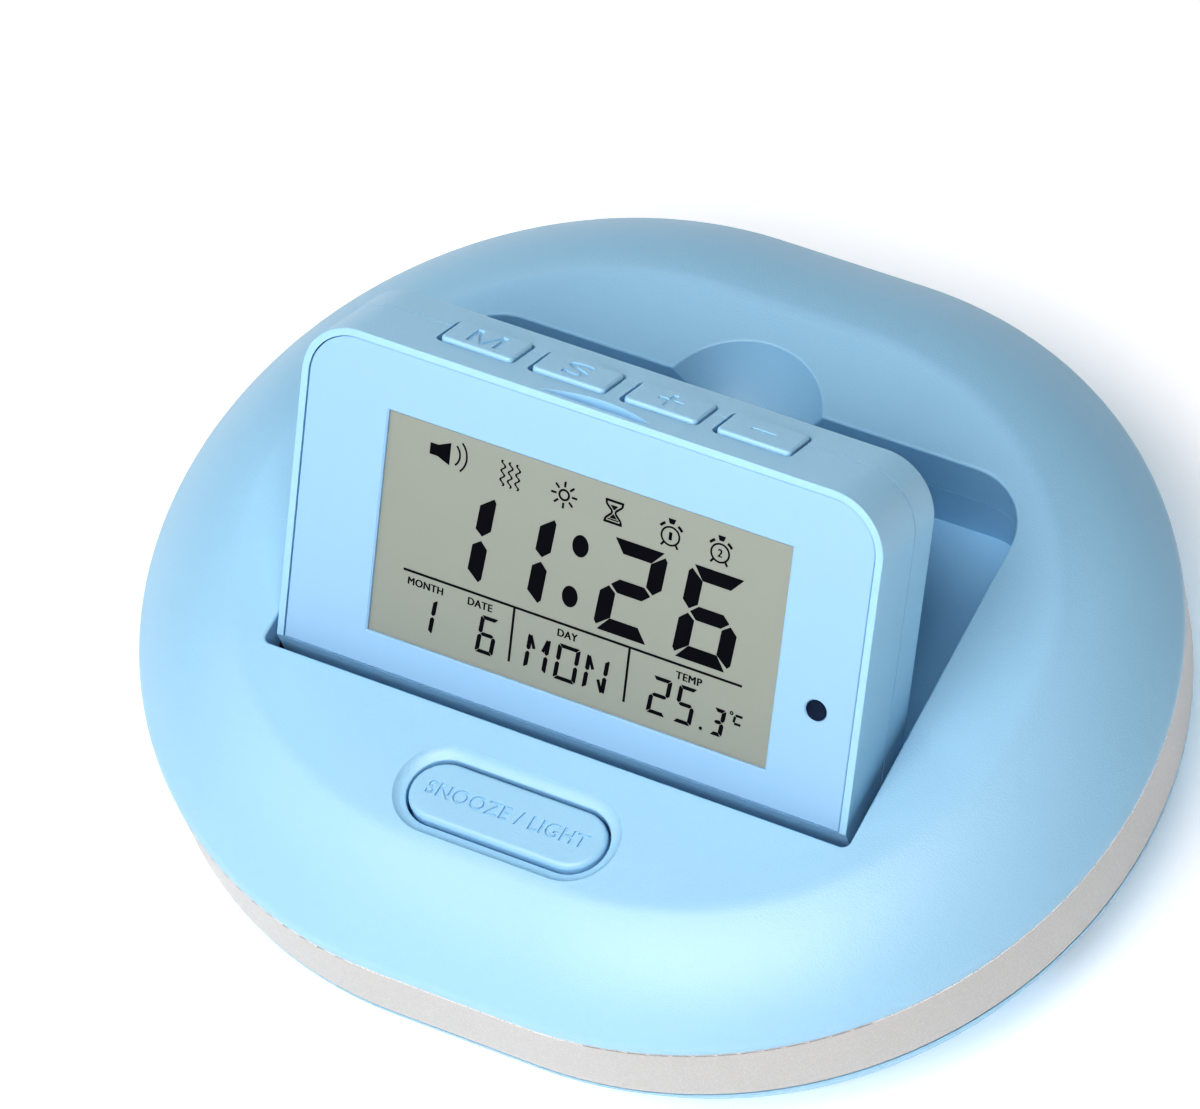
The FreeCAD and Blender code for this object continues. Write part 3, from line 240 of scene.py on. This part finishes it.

# %% [markdown]
# ## Silver band
# The band round the waist is sprayed with a silver lacquer. Small flakes in it catch the light
# one by one, so a fine scatter of cells lifts the tone of single specks. Above a height over the floor
# its upper edge, where it meets the cover, is painted near white and made a little glossier: a painted
# highlight.

# %% Silver lacquer
# Height above which the band's top edge carries a painted highlight.
PAINTED_HIGHLIGHT_FROM = 23.15 * MM
silver_band = Finish("silver_lacquer", IOR=1.5, Metallic=0.35)
flake = silver_band.cells(0.12 * MM, "Color")
flake_light = silver_band.node("SeparateColor", {}, {0: flake}, 0)
silver_cloud = silver_band.noise(25 * MM, 3)
silver_tone = silver_band.mix(silver_cloud, paint(184, 186, 184), paint(194, 196, 194))
silver_tone = silver_band.mix(flake_light ** 3 * 0.2, silver_tone, paint(250, 249, 246))
height = silver_band.node("SeparateXYZ", {}, {0: silver_band.place}, 2)
# Painted highlight: above this height the band's colour is mixed towards near white.
painted_highlight = (height > PAINTED_HIGHLIGHT_FROM) * 0.8
silver_band.feed("Base Color", silver_band.mix(painted_highlight, silver_tone, paint(252, 252, 252)))
silver_band.feed("Roughness", 0.42 - flake_light * 0.08 - painted_highlight * 0.1)
silver_band.bump(silver_band.noise(0.2 * MM, 2), 2e-6)
print("silver lacquer ready")

# %% [markdown]
# ## Tyre, metals and boards
# The other finishes are what such a clock has under and inside: black rubber with a bloom, drawn
# steel, brass pinions, a green laminate, nickel spring plate, and plain foil round the cells.

# %% Rubber and metals
tyre = Finish("tyre_rubber", IOR=1.5)
bloom = tyre.noise(12 * MM, 4)
tyre.feed("Base Color", tyre.mix(bloom, paint(38, 39, 41), paint(60, 61, 64)))
tyre.feed("Roughness", bloom * 0.12 + 0.62)
tyre.bump(tyre.noise(0.3 * MM, 3), 2.5e-5)


def metal(name, colour, roughness, stretch):
    """Drawn or turned metal: scratches that run one way over a slow change of tone."""
    finish = Finish(name, Metallic=1.0)
    lines = finish.noise(0.4 * MM, 3, stretch)
    cloud = finish.noise(10 * MM, 2)
    finish.feed("Base Color", finish.mix(cloud, shade(colour, 0.82), colour))
    finish.feed("Roughness", lines * 0.18 + (roughness - 0.09))
    finish.bump(lines, 3e-6)
    return finish


steel = metal("drawn_steel", paint(198, 200, 204), 0.3, (0.05, 1, 1))
spring_plate = metal("nickel_plate", paint(208, 204, 194), 0.28, (1, 1, 0.1))
brass = metal("turned_brass", paint(212, 176, 98), 0.26, (0.1, 1, 1))
motor_can = metal("zinc_plated_can", paint(190, 194, 198), 0.34, (0.2, 1, 1))
cell_jacket = metal("cell_foil", paint(186, 190, 196), 0.3, (1, 0.1, 1))
print("metals ready")

# %% [markdown]
# ## Boards, contact strip and sensor
# A bare board is glass cloth in green resin, so its weave shows as a faint pattern under a clear
# coat. The strip that joins the screen to its board is rubber with hundreds of thin dark layers,
# which a wave texture draws. The light sensor's window is smoked plastic, nearly black but polished.

# %% Boards, contact strip and sensor
board_laminate = Finish("green_laminate", Coat_Weight=0.5, Coat_Roughness=0.15)
weave = board_laminate.noise(0.6 * MM, 1)
board_laminate.feed("Base Color", board_laminate.mix(weave, paint(24, 84, 52), paint(34, 104, 66)))
board_laminate.feed("Roughness", weave * 0.1 + 0.35)
board_laminate.bump(weave, 6e-6)

STRIPES_PER_METRE = 900.0
contact_rubber = Finish("striped_contact_rubber")
stripe = contact_rubber.node(
    "TexWave", {"bands_direction": "X"},
    {"Vector": contact_rubber.place, "Scale": STRIPES_PER_METRE})
contact_rubber.feed("Base Color", contact_rubber.mix(stripe, paint(30, 30, 32), paint(196, 190, 176)))
contact_rubber.feed("Roughness", stripe * 0.2 + 0.5)

sensor_lens = Finish("smoked_lens", Coat_Weight=1.0, Coat_Roughness=0.04, IOR=1.5)
depth_tone = sensor_lens.noise(1.2 * MM, 2)
sensor_lens.feed("Base Color", sensor_lens.mix(depth_tone, paint(14, 26, 46), paint(30, 52, 82)))
sensor_lens.feed("Roughness", depth_tone * 0.1 + 0.1)
print("small finishes ready")

# %% [markdown]
# ## Display glass
# A reflective display is a sandwich: glass, liquid crystal, glass and a brushed reflector that gives
# it the green grey. Only the colour and a faint gloss reach the eye, so the panel is one pale tone
# that drifts slowly from corner to corner, and the dark figures are a thin sheet lying on it.

# %% Reflector and ink
lcd_glass = Finish("grey_green_reflector", IOR=1.5)
reflector_drift = lcd_glass.noise(50 * MM, 1)
speckle = lcd_glass.noise(0.25 * MM, 2)
lcd_glass.feed("Base Color", lcd_glass.mix(
    reflector_drift * 0.8 + speckle * 0.2, paint(149, 159, 151), paint(157, 167, 159)))
lcd_glass.feed("Roughness", speckle * 0.1 + 0.35)

figure_ink = Finish("dark_figures", IOR=1.5, Specular_IOR_Level=0.12)
ink_drift = figure_ink.noise(4 * MM, 2)
figure_ink.feed("Base Color", figure_ink.mix(ink_drift, paint(14, 15, 23), paint(21, 22, 31)))
figure_ink.feed("Roughness", ink_drift * 0.1 + 0.3)
print("display finishes ready")

# %% [markdown]
# ## Dress every solid
# Each node keeps its place. The ones that show get a copy whose loose triangles are merged and
# smooth-shaded, with real edges kept sharp, so that a rounded rim catches one clean line of light.
# Weighted normals stop long triangles on flat faces from shading like a drum skin.

# %% Finish for each slot
FINISHES = {
    "blue_shell": blue_shell, "face_panel": face_panel, "silver_band": silver_band,
    "lcd_glass": lcd_glass, "diffuser": diffuser, "contact_rubber": contact_rubber,
    "board_laminate": board_laminate, "black_plastic": black_plastic, "sensor_lens": sensor_lens,
    "steel": steel, "spring_plate": spring_plate, "cell_jacket": cell_jacket,
    "ball_plastic": ball_plastic, "ring_plastic": ring_plastic, "tyre": tyre,
    "hub_plastic": hub_plastic, "gear_plastic": gear_plastic, "brass": brass, "motor_can": motor_can,
}
SLOT_OF = {row["node"]: row["material_slot"] for row in frame["record"]["subparts"]}
BODY_OF = {member: body for body, members in BEHAVIOUR["bodies"].items() for member in members}
for node, solid in frame["nodes"].items():
    for place in solid.material_slots:
        place.material = FINISHES[SLOT_OF[node]].material
print(len(SLOT_OF), "nodes dressed in", len(FINISHES), "finishes")

# %% [markdown]
# ## How a piece joins the clock
# A piece that is drawn here has to move with the clock, so it rides on one of its bodies, takes a
# material slot, and hides the node it stands for, if it is a copy of one. Three short helpers do
# this for every piece: one closes a mesh, one marks its edges and one dresses it.

# %% Put a new piece on the clock
CREASE_DEGREES = 30
CREASE = math.radians(CREASE_DEGREES)
WELD = 0.001 * MM


def as_mesh(shape, name):
    """Closes a bmesh into a mesh of that name."""
    mesh = bpy.data.meshes.new(name)
    shape.to_mesh(mesh)
    shape.free()
    return mesh


def mark_edges(shape):
    """Smooth faces, with every edge that turns by more than the crease kept sharp."""
    for face in shape.faces:
        face.smooth = True
    for edge in shape.edges:
        edge.smooth = len(edge.link_faces) == 2 and edge.calc_face_angle(0) < CREASE


def dress(name, mesh, body, finish, stands_for=()):
    """Makes a piece of a finished mesh, lets it ride on its body and gives it its finish."""
    piece = bpy.data.objects.new(name, mesh)
    bpy.context.scene.collection.objects.link(piece)
    mesh.materials.clear()
    mesh.materials.append(finish.material)
    even = piece.modifiers.new("even_normals", "WEIGHTED_NORMAL")
    even.mode, even.keep_sharp = "FACE_AREA_WITH_ANGLE", True
    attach(piece, body)
    if stands_for:
        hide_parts(*stands_for)
    return piece


def dress_copy(node, shape):
    """Dresses a shape that stands for a node, with the node's own body and finish."""
    mark_edges(shape)
    slot = SLOT_OF[node]
    return dress(node + "_skin", as_mesh(shape, node), BODY_OF[node], FINISHES[slot], [node])


print("edges stay sharp from", CREASE_DEGREES, "degrees")


# %% Clean copies
def merged(node):
    """A node's own triangles with their doubles merged."""
    shape = bmesh.new()
    shape.from_mesh(frame["nodes"][node].data)
    bmesh.ops.remove_doubles(shape, verts=shape.verts, dist=WELD)
    return shape


SHOWN = [
    "top_cover", "trim_band", "well_tray", "bottom_shell", "display_housing", "rear_cover",
    "face_plate", "light_sensor", "battery_door", "caster_ball_front", "caster_ball_rear",
    "caster_rings", "tyre_left", "tyre_right", "wheel_hub_left", "wheel_hub_right",
]
for node in SHOWN:
    dress_copy(node, merged(node))
print(len(SHOWN), "clean copies stand for their nodes")

# %% [markdown]
# ## Letters
# The keys and the snooze bar carry sunken letters, and the display has printed ones. A text curve
# is turned into a mesh while it still lies flat at the origin, then scaled to the exact width and
# height wanted, because type on a mould is drawn to size rather than picked by points.

# %% Letters to size
def letters(text, width, height, thickness=0.0, weight=0.0):
    """A bmesh of letters lying flat, centred on the origin, width by height, in the same unit."""
    line = bpy.data.curves.new("letters", "FONT")
    line.body = text
    line.offset = weight
    line.extrude = thickness / 2
    line.resolution_u = 6
    line.space_character = 1.08
    shape = bmesh.new()
    drawn = bpy.data.objects.new("letters", line)
    shape.from_mesh(bpy.data.meshes.new_from_object(drawn))
    bpy.data.objects.remove(drawn)
    bmesh.ops.remove_doubles(shape, verts=shape.verts, dist=1e-5)
    low = [min(v.co[axis] for v in shape.verts) for axis in range(2)]
    high = [max(v.co[axis] for v in shape.verts) for axis in range(2)]
    middle = [(a + b) / 2 for a, b in zip(low, high)]
    bmesh.ops.translate(shape, verts=shape.verts, vec=(-middle[0], -middle[1], 0))
    to_size = (width / (high[0] - low[0]), height / (high[1] - low[1]), 1)
    bmesh.ops.scale(shape, verts=shape.verts, vec=to_size)
    return shape


# %% [markdown]
# ## Sunken legends
# The mould of a key carries its letter raised, so the key has it sunk, with crisp walls. A true cut
# is used rather than bump, so that the light finds the walls: the letter becomes a thin block that
# lies half under the surface, and a boolean takes it out of the cap.

# %% Cut letters into a cap
def engraved(node, legend, place):
    """A clean copy of a node with the legend sunk into it at that place."""
    legend.transform(place @ Matrix.Diagonal((MM, MM, MM, 1)))
    bmesh.ops.recalc_face_normals(legend, faces=legend.faces)
    cutter = bpy.data.objects.new("cutter", as_mesh(legend, "cutter"))
    blank = bpy.data.objects.new("blank", as_mesh(merged(node), node))
    for each in (cutter, blank):
        bpy.context.scene.collection.objects.link(each)
    cut = blank.modifiers.new("cut", "BOOLEAN")
    cut.object, cut.operation, cut.solver = cutter, "DIFFERENCE", "EXACT"
    graph = bpy.context.evaluated_depsgraph_get()
    shape = bmesh.new()
    shape.from_mesh(bpy.data.meshes.new_from_object(blank.evaluated_get(graph)))
    for each in (cutter, blank):
        bpy.data.objects.remove(each)
    piece = dress_copy(node, shape)
    print(node, "has", len(piece.data.polygons), "faces with its legend")


# %% [markdown]
# ## The letter M
# An offset makes a type face bold, but where two strokes of an M meet in a point it throws spikes.
# So the right half of a bold M is drawn from six corners, turned over for the left half, and the
# outline is extruded into a block like the other letters.

# %% The letter M
def bold_m(width, height, leg, thickness):
    """A plain M as a thin block: its points meet too sharply to be made bold from a type face."""
    half, tall, inner = width / 2, height / 2, leg * 1.3
    right_side = [
        (0.45 * leg, -tall), (half - leg, tall - 1.7 * leg), (half - leg, -tall),
        (half, -tall), (half, tall), (half - inner, tall),
    ]
    left_side = [(-x, y) for x, y in reversed(right_side)]
    shape = bmesh.new()
    corners = right_side + [(0, -tall + 1.3 * leg)] + left_side
    face = shape.faces.new([shape.verts.new((x, y, -thickness / 2)) for x, y in corners])
    grown = bmesh.ops.extrude_face_region(shape, geom=[face], use_keep_orig=True)["geom"]
    top = [item for item in grown if isinstance(item, bmesh.types.BMVert)]
    bmesh.ops.translate(shape, verts=top, vec=(0, 0, thickness))
    return shape


# %% [markdown]
# ## Keys and snooze bar
# The four keys lie in the display's top edge, so their legends face up the face's y axis, and the
# words on the snooze bar lie on its slope. A block is twice as thick as its legend is deep: a sixth
# of a millimetre for the signs, a quarter for the letters and a third for the words.

# %% Keys and snooze bar
KEY_TOP, KEY_MIDDLE = 46.8, -0.175
KEY_FACE = Matrix(((1, 0, 0, 0), (0, 0, 1, 0), (0, -1, 0, 0), (0, 0, 0, 1)))
SIGN_BLOCK, LETTER_BLOCK, WORD_BLOCK = 0.32, 0.48, 0.64
SIGN_WEIGHT, LETTER_WEIGHT, LEG = 0.015, 0.018, 0.55
KEY_LEGENDS = {
    "key_mode": (-18.3, bold_m(4.1, 3.4, LEG, LETTER_BLOCK)),
    "key_set": (-6.0, letters("S", 3.25, 3.5, LETTER_BLOCK, LETTER_WEIGHT)),
    "key_plus": (6.3, letters("+", 3.2, 3.2, SIGN_BLOCK, SIGN_WEIGHT)),
    "key_minus": (18.6, letters("-", 3.2, LEG, SIGN_BLOCK, SIGN_WEIGHT)),
}
for node, (across, legend) in KEY_LEGENDS.items():
    where = DISPLAY @ Matrix.Translation(Vector((across, KEY_TOP, KEY_MIDDLE)) * MM) @ KEY_FACE
    engraved(node, legend, where)
snooze_words = letters("SNOOZE / LIGHT", 21.7, 2.05, WORD_BLOCK, LETTER_WEIGHT)
engraved("snooze_button", snooze_words, SNOOZE)

# %% [markdown]
# ## Figures on the display
# The display's figures are electrodes etched in one flat sheet, so they are drawn flat and joined in
# one piece. They are laid out on a sheet of 28 dots to the millimetre, x to the right and y
# down from the sheet's top left corner, as an artwork for such a display is.

# %% Sheet of figures
DOTS, FULL_TURN = 28, 360
SHEET_CORNER = (-27.45, 39.66)
SHEET_LIFT, SHEET_THICK = 6.435, 0.02
sheet = bmesh.new()


def tile(*corners):
    """One flat figure with straight sides."""
    sheet.faces.new([sheet.verts.new((x, y, 0)) for x, y in corners])


def stroke(start, end, thick):
    """A straight line of that thickness."""
    start, end = Vector(start), Vector(end)
    side = (end - start).orthogonal().normalized() * (thick / 2)
    tile(start - side, start + side, end + side, end - side)


def arc(middle, radius, begin, sweep, thick):
    """Part of a ring, from the angle begin, by sweep degrees clockwise."""
    angle = math.radians(begin)
    ends = []
    for reach in (radius - thick / 2, radius + thick / 2):
        x, y = middle[0] + reach * math.cos(angle), middle[1] + reach * math.sin(angle)
        ends.append(sheet.verts.new((x, y, 0)))
    edge = sheet.edges.new(ends)
    steps = max(6, round(abs(sweep) / 10))
    bmesh.ops.spin(
        sheet, geom=ends + [edge], cent=(*middle, 0), axis=(0, 0, 1),
        angle=math.radians(sweep), steps=steps, use_merge=sweep == FULL_TURN)


def spot(middle, across, down):
    """A filled oval."""
    made = bmesh.ops.create_circle(sheet, cap_ends=True, segments=40, radius=1)["verts"]
    bmesh.ops.scale(sheet, verts=made, vec=(across, down, 1))
    bmesh.ops.translate(sheet, verts=made, vec=(*middle, 0))


WORD_SPREAD = 1.0
UPSIDE_DOWN = Matrix.Diagonal((1, -1, 1, 1))


def word(text, middle, width, height):
    """A printed word, centred there. It is struck twice, a little apart, which makes it bold."""
    for shift in (-WORD_SPREAD, WORD_SPREAD):
        made = letters(text, width - 2 * WORD_SPREAD, height)
        made.transform(Matrix.Translation((middle[0] + shift, middle[1], 0)) @ UPSIDE_DOWN)
        mesh = as_mesh(made, "word")
        sheet.from_mesh(mesh)
        bpy.data.meshes.remove(mesh)


print("one dot is", round(1 / DOTS, 3), "mm")

# %% [markdown]
# ## Leaning figures
# Each figure is made of up to seven bars with slanted ends that nearly touch. Two bars are drawn, an
# upright and a level one, and turned over and mirrored for the rest, so all figures share one hand.
# The whole figure leans a little to the right, by a share of the height above its base line.

# %% Leaning figures
SLANT, DAY_SLANT = 0.09, 0.07


def figure(lit, left, base, width, height, thick, bar, slant=SLANT):
    """A seven-segment figure. lit names its segments: a on top, then clockwise to f, and g across."""
    middle = height * 0.507
    upright = [
        (width - thick, middle + 0.55 * thick), (width - thick / 2, middle + 0.16 * thick),
        (width, middle + 0.64 * thick), (width, height - 0.52 * thick),
        (width - 0.18 * thick, height - 0.29 * thick), (width - thick, height - 0.96 * thick),
    ]
    level = [
        (0.3 * thick, height), (width - 0.3 * thick, height),
        (width - 0.98 * thick, height - bar), (0.98 * thick, height - bar),
    ]
    tip, shoulder = 0.62 * thick, 1.1 * thick
    across = [
        (tip, middle), (shoulder, middle + bar / 2), (width - shoulder, middle + bar / 2),
        (width - tip, middle), (width - shoulder, middle - bar / 2), (shoulder, middle - bar / 2),
    ]

    def turned_over(points):
        return [(u, (height - v) if v > middle + thick else 2 * middle - v) for u, v in points]

    def mirrored(points):
        return [(width - u, v) for u, v in points]

    lower = [(u, height - v) for u, v in level]
    segments = {
        "a": level, "b": upright, "c": turned_over(upright), "d": lower,
        "e": mirrored(turned_over(upright)), "f": mirrored(upright), "g": across,
    }
    for name in lit:
        tile(*[(left + u + slant * v, base - v) for u, v in segments[name]])


print("figures lean", round(math.degrees(math.atan(SLANT)), 1), "degrees")

# %% [markdown]
# ## Time, date and temperature
# The time fills the middle of the screen, with two ovals between hours and minutes. Below a rule lie
# the month, the date, the day as three letters, and the temperature. The same function draws them,
# with a short diagonal added where seven bars alone can't make an M or an N.

# %% Time
TIME_LINE, TIME_WIDTH, TIME_HEIGHT = 597, 215, 351
TIME_BARS, SMALL_BARS = (56, 51), (15, 13)
for lit, left in (("bc", 203), ("bc", 430), ("abged", 846), ("afgedc", 1141)):
    figure(lit, left, TIME_LINE, TIME_WIDTH, TIME_HEIGHT, *TIME_BARS)
spot((770, 323), 30, 40)
spot((752, 517), 29, 39)
print("time", len(sheet.faces), "faces")

# %% Date, day and temperature
DAY_LINE, DATE_LINE = 832, 835
DAY_WIDTH, DAY_HEIGHT, DATE_HEIGHT = 84, 134, 141
RULE, FINE, RING, DIAGONAL = 8, 7, 6, 11
figure("bc", 192, DAY_LINE, 66, DAY_HEIGHT, *SMALL_BARS)
figure("afgedc", 424, DATE_LINE, 68, DATE_HEIGHT, *SMALL_BARS)
figure("abged", 1075, DATE_LINE, 73, DATE_HEIGHT, *SMALL_BARS)
figure("afgcd", 1175, DATE_LINE, 68, DATE_HEIGHT, *SMALL_BARS)
figure("abgcd", 1312, DATE_LINE, 46, 102, *SMALL_BARS)
for lit, left in (("bcef", 609), ("abcdef", 722), ("bcef", 832)):
    figure(lit, left, DAY_LINE, DAY_WIDTH, DAY_HEIGHT, *SMALL_BARS, DAY_SLANT)
for x1, y1, x2, y2 in (
        (627, 706, 643, 752), (692, 706, 676, 752), (848, 706, 866, 752), (889, 782, 905, 826)):
    stroke((x1, y1), (x2, y2), DIAGONAL)
spot((1280, 827), 6, 6)
arc((1385, 733), 5, 0, FULL_TURN, 4)
for x1, y1, x2, y2 in ((1400, 737, 1426, 737), (1399, 742, 1396, 764), (1399, 768, 1422, 768)):
    stroke((x1, y1), (x2, y2), RULE)
print("figures", len(sheet.faces), "faces")

# %% Rules and words
WORD_HEIGHT = 27
stroke((130, 625), (1410, 625), RULE)
for across in (555, 991):
    stroke((across, 629), (across, 830), RULE)
word("MONTH", (218, 661), 135, WORD_HEIGHT)
word("DATE", (427, 660), 93, WORD_HEIGHT)
word("DAY", (760, 660), 75, WORD_HEIGHT)
word("TEMP", (1217, 664), 98, WORD_HEIGHT)
print("with its words", len(sheet.faces), "faces")

# %% [markdown]
# ## Icons
# A row of small icons along the top tells what is switched on: a sounder, a shaker, the light, a
# timer and two alarms. Each is a handful of strokes, arcs and tiles, as an artist would rule them.

# %% Icons for the sounder and the shaker
tile((182, 134), (212, 134), (258, 112), (258, 194), (212, 175), (182, 175))
arc((246, 151), 49, -46, 92, RING)
arc((246, 151), 75, -44, 88, RING)
WAVE_HEIGHT, WAVE_LENGTH, WAVE_REACH = 94, 33, 7
for across in (458, 486, 514):
    made = bmesh.ops.create_grid(sheet, x_segments=1, y_segments=36, size=0.5)["verts"]
    bmesh.ops.scale(sheet, verts=made, vec=(FINE, WAVE_HEIGHT, 1))
    for corner in made:
        corner.co.x += WAVE_REACH * math.sin(corner.co.y * math.tau / WAVE_LENGTH)
    bmesh.ops.translate(sheet, verts=made, vec=(across, 156, 0))
print("with sounder and shaker", len(sheet.faces), "faces")

# %% Icons for the light and the timer
sun, waist = Vector((690, 160)), Vector((876, 160))
arc(sun, 18, 0, FULL_TURN, FINE)
RAYS = 8
for turn in range(RAYS):
    ray = Vector((math.cos(turn * math.tau / RAYS), math.sin(turn * math.tau / RAYS)))
    stroke(sun + ray * 29, sun + ray * 49, FINE)
for side in (-1, 1):
    glass = [(-31, -38), (-29, -24), (-7, -3), (-7, 6), (-28, 28), (-30, 38)]
    for (x1, y1), (x2, y2) in zip(glass, glass[1:]):
        stroke(waist + Vector((side * x1, y1)), waist + Vector((side * x2, y2)), FINE)
for end in (122, 200):
    stroke((842, end), (910, end), RULE)
tile((862, 137), (890, 137), (876, 154))
tile((862, 184), (890, 184), (876, 168))
stroke((856, 189), (896, 189), 4)
print("with sun and hourglass", len(sheet.faces), "faces")

# %% Icons for the two alarms
BELL_SWEEP, BELL_ASIDE, BELL_THICK = 26, 42, 9
for across, number, number_width in ((1089, "1", 11), (1273, "2", 17)):
    hub = Vector((across, 177))
    arc(hub, 33, 0, FULL_TURN, RING)
    tile(*(hub + Vector(corner) for corner in ((-14, -63), (14, -63), (8, -45), (-8, -45))))
    for side in (-1, 1):
        arc(hub, 49, -90 + side * BELL_ASIDE - BELL_SWEEP / 2, BELL_SWEEP, BELL_THICK)
        stroke(hub + Vector((side * 22, 27)), hub + Vector((side * 31, 40)), FINE)
    word(number, hub, number_width, 28)
print("sheet", len(sheet.faces), "faces")

# %% [markdown]
# ## Lay the sheet on the glass
# The finished artwork is given a little thickness, turned from dots into metres and laid on the
# glass in one step. Its y axis runs down, so the matrix mirrors it, and the faces that this turns
# inside out have their normals worked out afresh.

# %% Lay the sheet on the glass
TO_SIZE = Matrix.Diagonal((MM / DOTS, -MM / DOTS, MM, 1))
SHEET = DISPLAY @ Matrix.Translation(Vector((*SHEET_CORNER, SHEET_LIFT)) * MM) @ TO_SIZE
raised = bmesh.ops.extrude_face_region(sheet, geom=sheet.faces[:])["geom"]
upper = [item for item in raised if isinstance(item, bmesh.types.BMVert)]
bmesh.ops.translate(sheet, verts=upper, vec=(0, 0, SHEET_THICK))
sheet.transform(SHEET)
bmesh.ops.recalc_face_normals(sheet, faces=sheet.faces)
sheet_mesh = as_mesh(sheet, "display_figures")
figures = dress("display_figures", sheet_mesh, "display", figure_ink)

# %% [markdown]
# ## Floor and light
# A studio sweep is a large white sheet that runs out of sight. One soft lamp hangs close by, high in
# front, so the light falls off over the deck and draws a sheen on the front rim. Two weak lamps touch
# the left and the rear rim. The sheet glows more the farther it lies from the clock, and the sky is
# pale at the horizon and dim overhead, so the background is light and the shadows keep their blue.

# %% Floor
FLOOR_REACH = 3
GLOW_FROM, GLOW_TO = 100 * MM, 400 * MM
NEAR_GLOW, FAR_GLOW = (0.22, 0.245, 0.26, 1), (0.66, 0.69, 0.71, 1)
paper = Finish("studio_paper", Roughness=0.9, Emission_Strength=1.0)
reach = paper.node("VectorMath", {"operation": "LENGTH"}, {0: paper.place}, "Value")
far_off = paper.node("MapRange", {}, {"Value": reach, "From Min": GLOW_FROM, "From Max": GLOW_TO})
paper.feed("Emission Color", paper.mix(far_off, NEAR_GLOW, FAR_GLOW))
paper_drift = paper.noise(300 * MM, 2)
paper.feed("Base Color", paper.mix(paper_drift, paint(244, 244, 244), paint(248, 248, 248)))
sweep = bmesh.new()
bmesh.ops.create_grid(sweep, x_segments=4, y_segments=4, size=FLOOR_REACH)
floor = bpy.data.objects.new("studio_floor", as_mesh(sweep, "studio_floor"))
floor.data.materials.append(paper.material)
bpy.context.scene.collection.objects.link(floor)
print("floor", 2 * FLOOR_REACH, "m wide")

# %% [markdown]
# ## Lamps
# A lamp is easiest to place as a photographer would: so far round from the front, so high, so far
# away. The helper works out its position and turns its face to a point in the clock's middle.

# %% Lamps
AIM = Vector((0, 0, 30)) * MM


def soft_lamp(name, azimuth, elevation, distance, size, watts, tint):
    """A square lamp that looks at the clock from that side and height."""
    lamp = bpy.data.lights.new(name, "AREA")
    lamp.size, lamp.energy, lamp.color = size, watts, tint
    a, e = math.radians(azimuth), math.radians(elevation)
    towards = Vector((math.sin(a) * math.cos(e), -math.cos(a) * math.cos(e), math.sin(e)))
    placed = bpy.data.objects.new(name, lamp)
    placed.location = AIM + towards * distance
    placed.rotation_euler = towards.to_track_quat("Z", "Y").to_euler()
    bpy.context.scene.collection.objects.link(placed)


soft_lamp(
    "key_lamp", azimuth=12, elevation=62, distance=0.45, size=0.38,
    watts=1.82, tint=(1.05, 0.94, 0.92))
soft_lamp(
    "left_lamp", azimuth=-70, elevation=48, distance=0.7, size=0.4,
    watts=0.6, tint=(0.92, 0.97, 1))
soft_lamp(
    "rear_lamp", azimuth=-138, elevation=27, distance=0.9, size=0.25,
    watts=0.7, tint=(0.85, 0.95, 1))
print("lamps", [lamp.name for lamp in bpy.data.lights])

# %% [markdown]
# ## Sky
# The sky's strength falls from the horizon upwards. Sight lines that run low past the clock end in
# the pale band, while the deck, which faces up, gets little light from the dim rest.

# %% Sky
HORIZON, OVERHEAD, PALE_BAND = 0.3, 0.03, 0.12
sky = bpy.data.worlds.new("studio_sky")
sky.use_nodes = True
nodes, links = sky.node_tree.nodes, sky.node_tree.links
background = nodes["Background"]
background.inputs["Color"].default_value = paint(222, 240, 252)
kinds = ("TexCoord", "SeparateXYZ", "MapRange")
view, split, rise = (nodes.new("ShaderNode" + kind) for kind in kinds)
levels = {"From Min": 0.0, "From Max": PALE_BAND, "To Min": HORIZON, "To Max": OVERHEAD}
for name, value in levels.items():
    rise.inputs[name].default_value = value
links.new(view.outputs["Generated"], split.inputs[0])
links.new(split.outputs["Z"], rise.inputs["Value"])
links.new(rise.outputs[0], background.inputs["Strength"])
bpy.context.scene.world = sky
bpy.context.scene.view_settings.view_transform = "Standard"
bpy.context.scene.view_settings.look = "High Contrast"
print("sky", HORIZON, "at the horizon and", OVERHEAD, "overhead")
